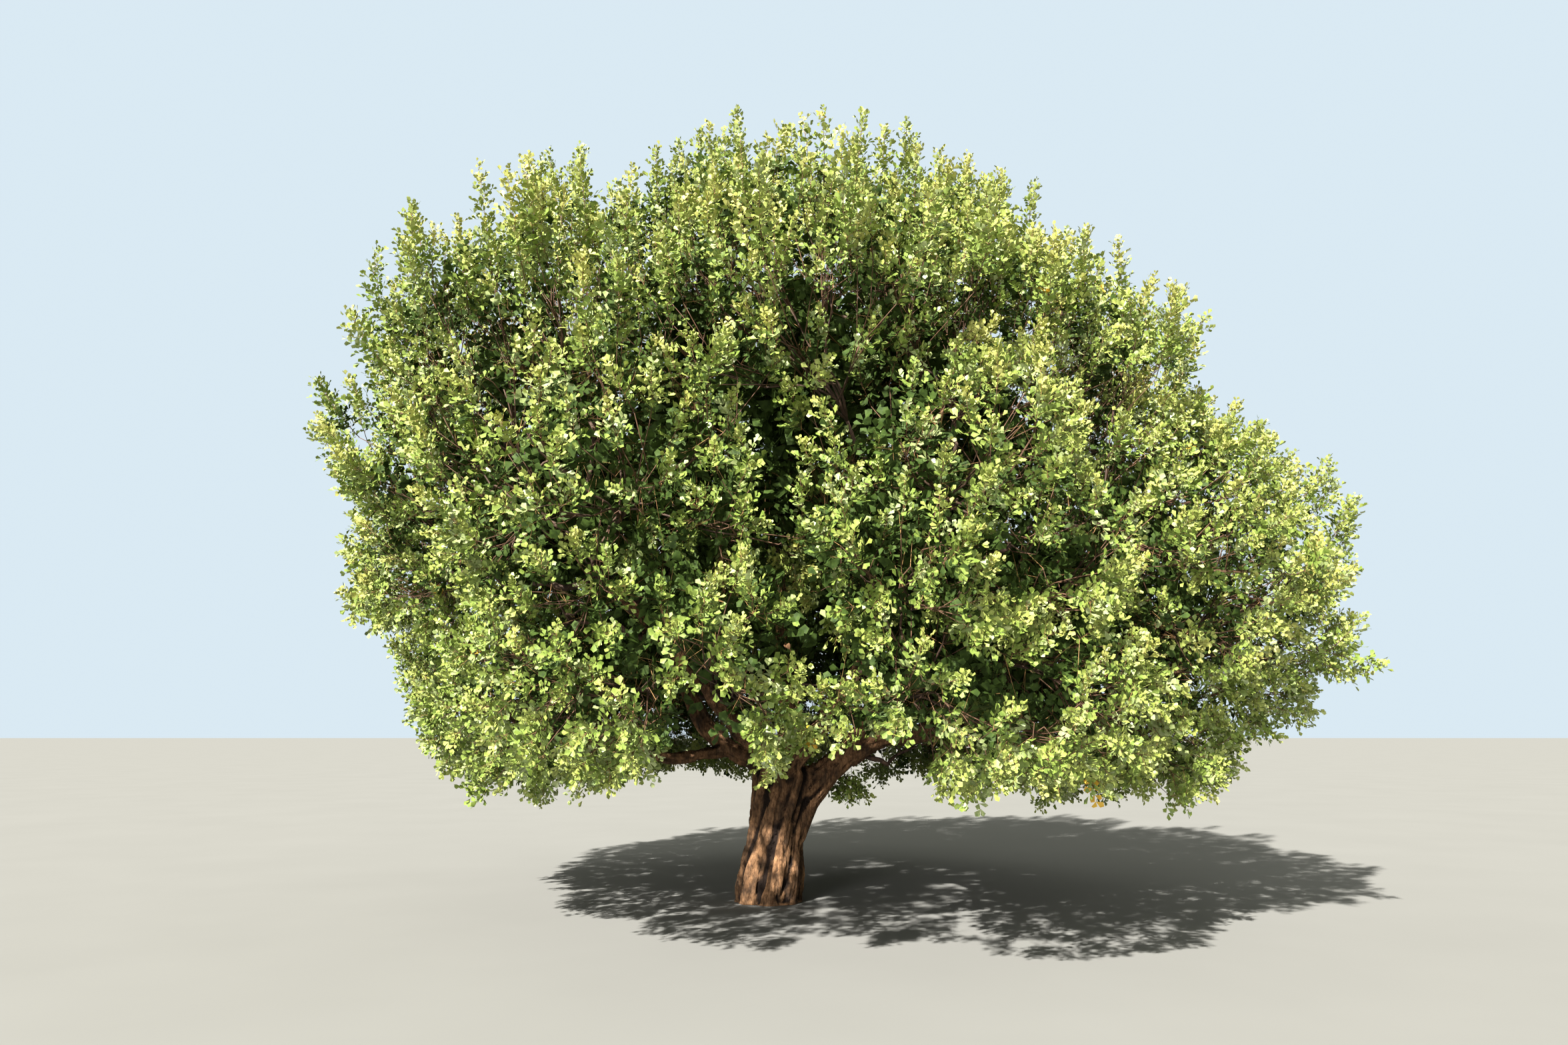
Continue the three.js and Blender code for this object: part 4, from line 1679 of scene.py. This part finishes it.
    def behind(self, twigs: Array, layer: Layer) -> tuple[Leaves, Array]:
        """A layer of darker leaves behind the shoots, painted near-black as shade.

        Args:
            twigs: Points along the twigs and branchlets, as rows.
            layer: Which layer.

        Returns:
            The leaves, and the point of a twig that each grows from.
        """
        random = np.random.default_rng([self.seed, layer.number])
        places, ways, masses = self.surface.scattered(layer.count * 3, random)
        radial = self.surface.outward(places)
        outer = (dot(ways, radial)[:, 0] > 0.1) & (self.surface.open_way(places, ways) > 0.4)
        depth = random.uniform(layer.least_depth, layer.most_depth, (len(places), 1))
        places = places - (0.4 * ways + 0.6 * radial) * depth
        picked = np.flatnonzero(outer & self.has_room(places, layer))[:layer.count]
        places, masses = self.view.fitted(places[picked]), masses[picked]
        for low, high, extra in layer.screens:
            places = np.concatenate([places, random.uniform(low, high, (extra, 3))])
            masses = np.concatenate([masses, np.full(extra, self.surface.names.index("core_front"))])
        count = len(places)
        number, _ = nearest(twigs, places)
        aim = unit(unit(places - twigs[number]) + 0.5 * random.normal(size=places.shape))
        face = square_to(aim, UP + 0.8 * random.normal(size=places.shape))
        sizes = layer.leaf * random.uniform(0.8, 1.2, count)
        zones = self.surface.zone_numbers(masses)
        # Every leaf behind the shoots takes the near-black shaded finish: painted shade.
        ages, forms = (np.full(count, number_of(option)) for option in (LeafAgeAndLight.SHADED, LeafForm.INNER))
        return Leaves(places, aim, face, sizes, ages, zones, forms), twigs[number]

    def piece(self, leaves: Leaves, zone: Zone, age: LeafAgeAndLight, finish: bpy.types.Material) -> Piece | None:
        """One piece of leaves, which stands for its zone's masses.

        Args:
            leaves: All the leaves.
            zone: The part of the crown.
            age: The age and painted light of the leaves that it holds.
            finish: Their finish.

        Returns:
            The piece, or nothing where the zone has no leaves of that age and painted light.
        """
        which = (leaves.zones == number_of(zone)) & (leaves.ages == number_of(age))
        if not which.any():
            return None
        random = np.random.default_rng([self.seed, number_of(zone), number_of(age)])
        arrays = joined([
            shape.arrays(leaves.chosen(which & (leaves.forms == number_of(shape.form))), random)
            for shape in (BLUNT_LEAF, POINTED_LEAF, INNER_LEAF)
        ])
        made = mesh_from_arrays(f"{zone.value}_{age.value}_leaves", *arrays)
        made.data.materials.append(finish)
        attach(made, "root")
        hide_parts(*self.surface.masses(zone))
        return made

    def stalks(self, starts: Array, ends: Array) -> Piece:
        """The stalks of all the leaves.

        Args:
            starts: Where they leave the stems and twigs, as rows.
            ends: Where they end, as rows.

        Returns:
            The piece.
        """
        stalks = mesh_from_arrays("leaf_stalks", *blades(starts, ends, self.stalk))
        stalks.data.materials.append(STALK_FINISH.material())
        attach(stalks, "root")
        return stalks

    def build(self, twigs: Array) -> list[Piece]:
        """Joins the leaves into pieces, one for each age and painted light in each zone, and their stalks
        into one.

        Args:
            twigs: Points along the twigs and branchlets, where the inner leaves grow.

        Returns:
            The pieces.
        """
        outer = self.on_shoots()
        inner, starts = zip(*(self.behind(twigs, layer) for layer in LAYERS))
        leaves = Leaves.together([outer, *inner])
        finishes = {finish.age: finish.material() for finish in LEAF_FINISHES}
        made = [self.piece(leaves, zone, age, finishes[age]) for zone in Zone for age in LeafAgeAndLight]
        ends = [BLUNT_LEAF.tips(outer), *(INNER_LEAF.tips(found) for found in inner)]
        stalks = self.stalks(np.concatenate([outer.feet, *starts]), np.concatenate(ends))
        return [piece for piece in made if piece] + [stalks]


# Branches

def arcs(starts: Array, start_ways: Array, ends: Array, end_ways: Array, count: int) -> Array:
    """Smooth lines that leave each start along its way and reach each end along its own.

    Args:
        starts: Where the lines start, as rows.
        start_ways: The way at each start.
        ends: Where they end.
        end_ways: The way at each end.
        count: How many points a line has.

    Returns:
        The lines, shape (lines, points, 3).
    """
    reach = np.linalg.norm(ends - starts, axis=1, keepdims=True)
    one, two = starts + start_ways * reach * 0.35, ends - end_ways * reach * 0.35
    t = np.linspace(0, 1, count)[None, :, None]
    a, b, c, d = (p[:, None] for p in (starts, one, two, ends))
    return a * (1 - t) ** 3 + 3 * b * t * (1 - t) ** 2 + 3 * c * t ** 2 * (1 - t) + d * t ** 3


@dataclass
class Branching:
    """The seeded rule of growth: branches leave the boughs, fork into branchlets, and these into shoots."""

    shoots: Shoots
    seed: int = 41
    branchlets_on_branch: int = 7
    branch_points: int = 10
    branchlet_points: int = 8
    limb_points: int = 40
    bare_limb: int = 10
    fork_share: float = 0.45
    branch_radius: Pair = (0.055, 0.02)
    branchlet_radius: Pair = (0.017, 0.008)
    twig_radius: Pair = (0.008, 0.005)
    stem_radius: Pair = (0.006, 0.0025)
    sway: float = 0.05

    def clumps(self) -> tuple[Array, Array, Array]:
        """The clumps of shoots, each of which has a branchlet.

        Returns:
            The number of each shoot's clump, the middle of each clump's feet, and its way out.
        """
        shoots = self.shoots
        used, clump = np.unique(shoots.clump, return_inverse=True)
        count = len(used)
        total = np.maximum(np.bincount(clump, minlength=count), 1)[:, None]
        middles, outs = np.zeros((count, 3)), np.zeros((count, 3))
        np.add.at(middles, clump, shoots.feet)
        np.add.at(outs, clump, shoots.first)
        return clump, middles / total, unit(outs)

    def roots(self, places: Array) -> tuple[Array, Array]:
        """Where branches leave the boughs: near where they go, and rather below it.

        Args:
            places: The middle of what each branch carries, as rows.

        Returns:
            The roots, and the boughs' way at each.
        """
        lines = [limb.line(self.limb_points) for limb in LIMBS]
        on_bough = np.concatenate([line[self.bare_limb:] for line in lines])
        ways = np.concatenate([unit(np.gradient(line, axis=0))[self.bare_limb:] for line in lines])
        gaps = ((places[:, None] - on_bough[None]) ** 2).sum(-1)
        lower = np.clip(on_bough[None, :, 2] - places[:, None, 2] + 0.6, 0, None)
        closest = (gaps + 6 * lower ** 2).argmin(1)
        return on_bough[closest], ways[closest]

    def grow(self) -> None:
        """Grows the branches from the boughs out to every shoot."""
        random = np.random.default_rng(self.seed)
        clump, middles, outs = self.clumps()
        of_branch, carried = gathered(middles, len(middles) // self.branchlets_on_branch, random)
        roots, root_ways = self.roots(carried)
        forks = blend(carried, roots, self.fork_share)
        fork_ways = unit(carried - roots)
        branches = arcs(roots, root_ways, forks, fork_ways, self.branch_points)
        self.branches = self.swayed(branches, random, 1.6)
        starts, start_ways = forks[of_branch], fork_ways[of_branch]
        branchlets = arcs(starts, start_ways, middles - 0.45 * outs, unit(middles - starts),
                          self.branchlet_points)
        self.branchlets = self.swayed(branchlets, random, 1.0)
        joint = random.integers(3, self.branchlet_points, len(clump))
        leave = unit(np.gradient(self.branchlets, axis=1))[clump, joint]
        self.twigs = arcs(self.branchlets[clump, joint], leave, self.shoots.feet, self.shoots.first, 3)

    def swayed(self, lines: Array, random: Random, share: float) -> Array:
        """Lines with small uneven bends, their ends left where they are.

        Args:
            lines: The lines, shape (lines, points, 3).
            random: The source of chance.
            share: How strong the bends are.

        Returns:
            The bent lines.
        """
        bends = self.sway * share * random.normal(size=lines.shape)
        bends[:, [0, -1]] = 0
        bends[:, 1:-1] = (bends[:, :-2] + bends[:, 1:-1] + bends[:, 2:]) / 2
        return lines + bends

    def leafy_points(self) -> Array:
        """The points along branchlets and twigs where leaves may grow."""
        return np.concatenate([self.branchlets[:, 2:].reshape(-1, 3), self.twigs.reshape(-1, 3)])

    def dressed(self, name: str, arrays: tuple[Array, Array, Array], finish: TwigFinish) -> Piece:
        """Makes a piece of branches.

        Args:
            name: The piece's name.
            arrays: Its vertices, quads and triangles.
            finish: Its finish.

        Returns:
            The piece.
        """
        piece = mesh_from_arrays(name, *arrays)
        piece.data.materials.append(finish.material())
        piece.data.shade_smooth()
        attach(piece, "root")
        return piece

    def build(self) -> list[Piece]:
        """Builds the branches, the twigs and the stems of the shoots.

        Returns:
            The pieces.
        """
        stems = self.shoots.places_along(0, 0.97, 3)
        thick = joined([tube_arrays(self.branches, self.branch_radius, 7),
                        tube_arrays(self.branchlets, self.branchlet_radius, 5)])
        thin = joined([tube_arrays(self.twigs, self.twig_radius, 3),
                       tube_arrays(stems, self.stem_radius, 3)])
        return [self.dressed("branches", thick, BRANCH_FINISH), self.dressed("twigs", thin, SHOOT_FINISH)]


# The studio

@dataclass(frozen=True)
class Lamp:
    """A distant lamp: the way its light comes from, its strength, its width in degrees, and its colour."""

    name: str
    way: Triple
    strength: float
    softness: float
    colour: Triple

    def add(self) -> None:
        """Adds the lamp to the scene."""
        data = bpy.data.lights.new(self.name, "SUN")
        data.energy = self.strength
        data.angle = math.radians(self.softness)
        data.color = self.colour
        linked(self.name, data).rotation_euler = Vector(self.way).to_track_quat("Z", "Y").to_euler()


@dataclass
class Studio:
    """A plain pale floor, soft light with the sun's side at the front left, and the camera."""

    tilt: float = 11.57
    lens: float = 24.0
    sensor: float = 36.0
    key: Lamp = Lamp("key", SUN_FROM, 14.3, 1.0, (1.0, 0.96, 0.88))
    fill: Lamp = Lamp("fill", (-0.45, -1.0, 0.14), 1.75, 16.0, (1.0, 0.98, 0.95))
    sky: Triple = (0.98, 1.0, 0.88)
    sky_strength: float = 0.54
    backdrop: Triple = (0.7, 0.82, 0.9)
    floor_size: float = 3000.0
    floor_colours: tuple[Triple, Triple] = ((0.2, 0.202, 0.195), (0.22, 0.222, 0.215))

    def camera(self) -> None:
        """Adds the camera, upright but for its tilt."""
        data = bpy.data.cameras.new("camera")
        data.lens = self.lens
        data.sensor_width = self.sensor
        data.clip_end = self.floor_size
        made = linked("camera", data)
        made.location = EYE
        made.rotation_euler = (math.radians(90 + self.tilt), 0, 0)
        bpy.context.scene.camera = made

    def floor(self) -> None:
        """Adds the floor, which isn't part of the tree."""
        bpy.ops.mesh.primitive_plane_add(size=self.floor_size, location=(0, 0, -0.002))
        made = bpy.context.object
        made.name = "floor"
        shader = Shader("floor", roughness=1.0, gloss=0.0)
        shader.colour(shader.ramp(shader.noise(scale=0.4), *enumerate(self.floor_colours)))
        made.data.materials.append(shader.material)

    def surround(self) -> None:
        """Adds the sky's light, and the pale backdrop that only the camera sees."""
        world = bpy.data.worlds.new("surround")
        world.use_nodes = True
        nodes, links = world.node_tree.nodes, world.node_tree.links
        light = nodes["Background"]
        light.inputs["Color"].default_value = (*self.sky, 1.0)
        light.inputs["Strength"].default_value = self.sky_strength
        backdrop = nodes.new("ShaderNodeBackground")
        backdrop.inputs["Color"].default_value = (*self.backdrop, 1.0)
        path, mixed = nodes.new("ShaderNodeLightPath"), nodes.new("ShaderNodeMixShader")
        links.new(path.outputs["Is Camera Ray"], mixed.inputs[0])
        links.new(light.outputs["Background"], mixed.inputs[1])
        links.new(backdrop.outputs["Background"], mixed.inputs[2])
        links.new(mixed.outputs["Shader"], nodes["World Output"].inputs["Surface"])
        bpy.context.scene.world = world
        bpy.context.scene.view_settings.view_transform = "Standard"

    def build(self) -> None:
        """Sets up the studio."""
        self.camera()
        self.floor()
        self.key.add()
        self.fill.add()
        self.surround()


def report(piece: Piece) -> None:
    """Logs a piece's name and triangles."""
    count = sum(len(p.vertices) - 2 for p in piece.data.polygons)
    log.info("%s: %d triangles", piece.name, count)


def main() -> None:
    """Builds the tree in order: studio, wood, shoots, branches and leaves."""
    Studio().build()
    report(BarkedWood().build())
    surface, view = CrownSurface(), FrontView()
    shoots = Planting(surface, view).build()
    log.info("%d shoots", len(shoots.feet))
    branching = Branching(shoots)
    branching.grow()
    for piece in branching.build():
        report(piece)
    for piece in Foliage(surface, view, shoots).build(branching.leafy_points()):
        report(piece)


if __name__ == "__main__":
    main()
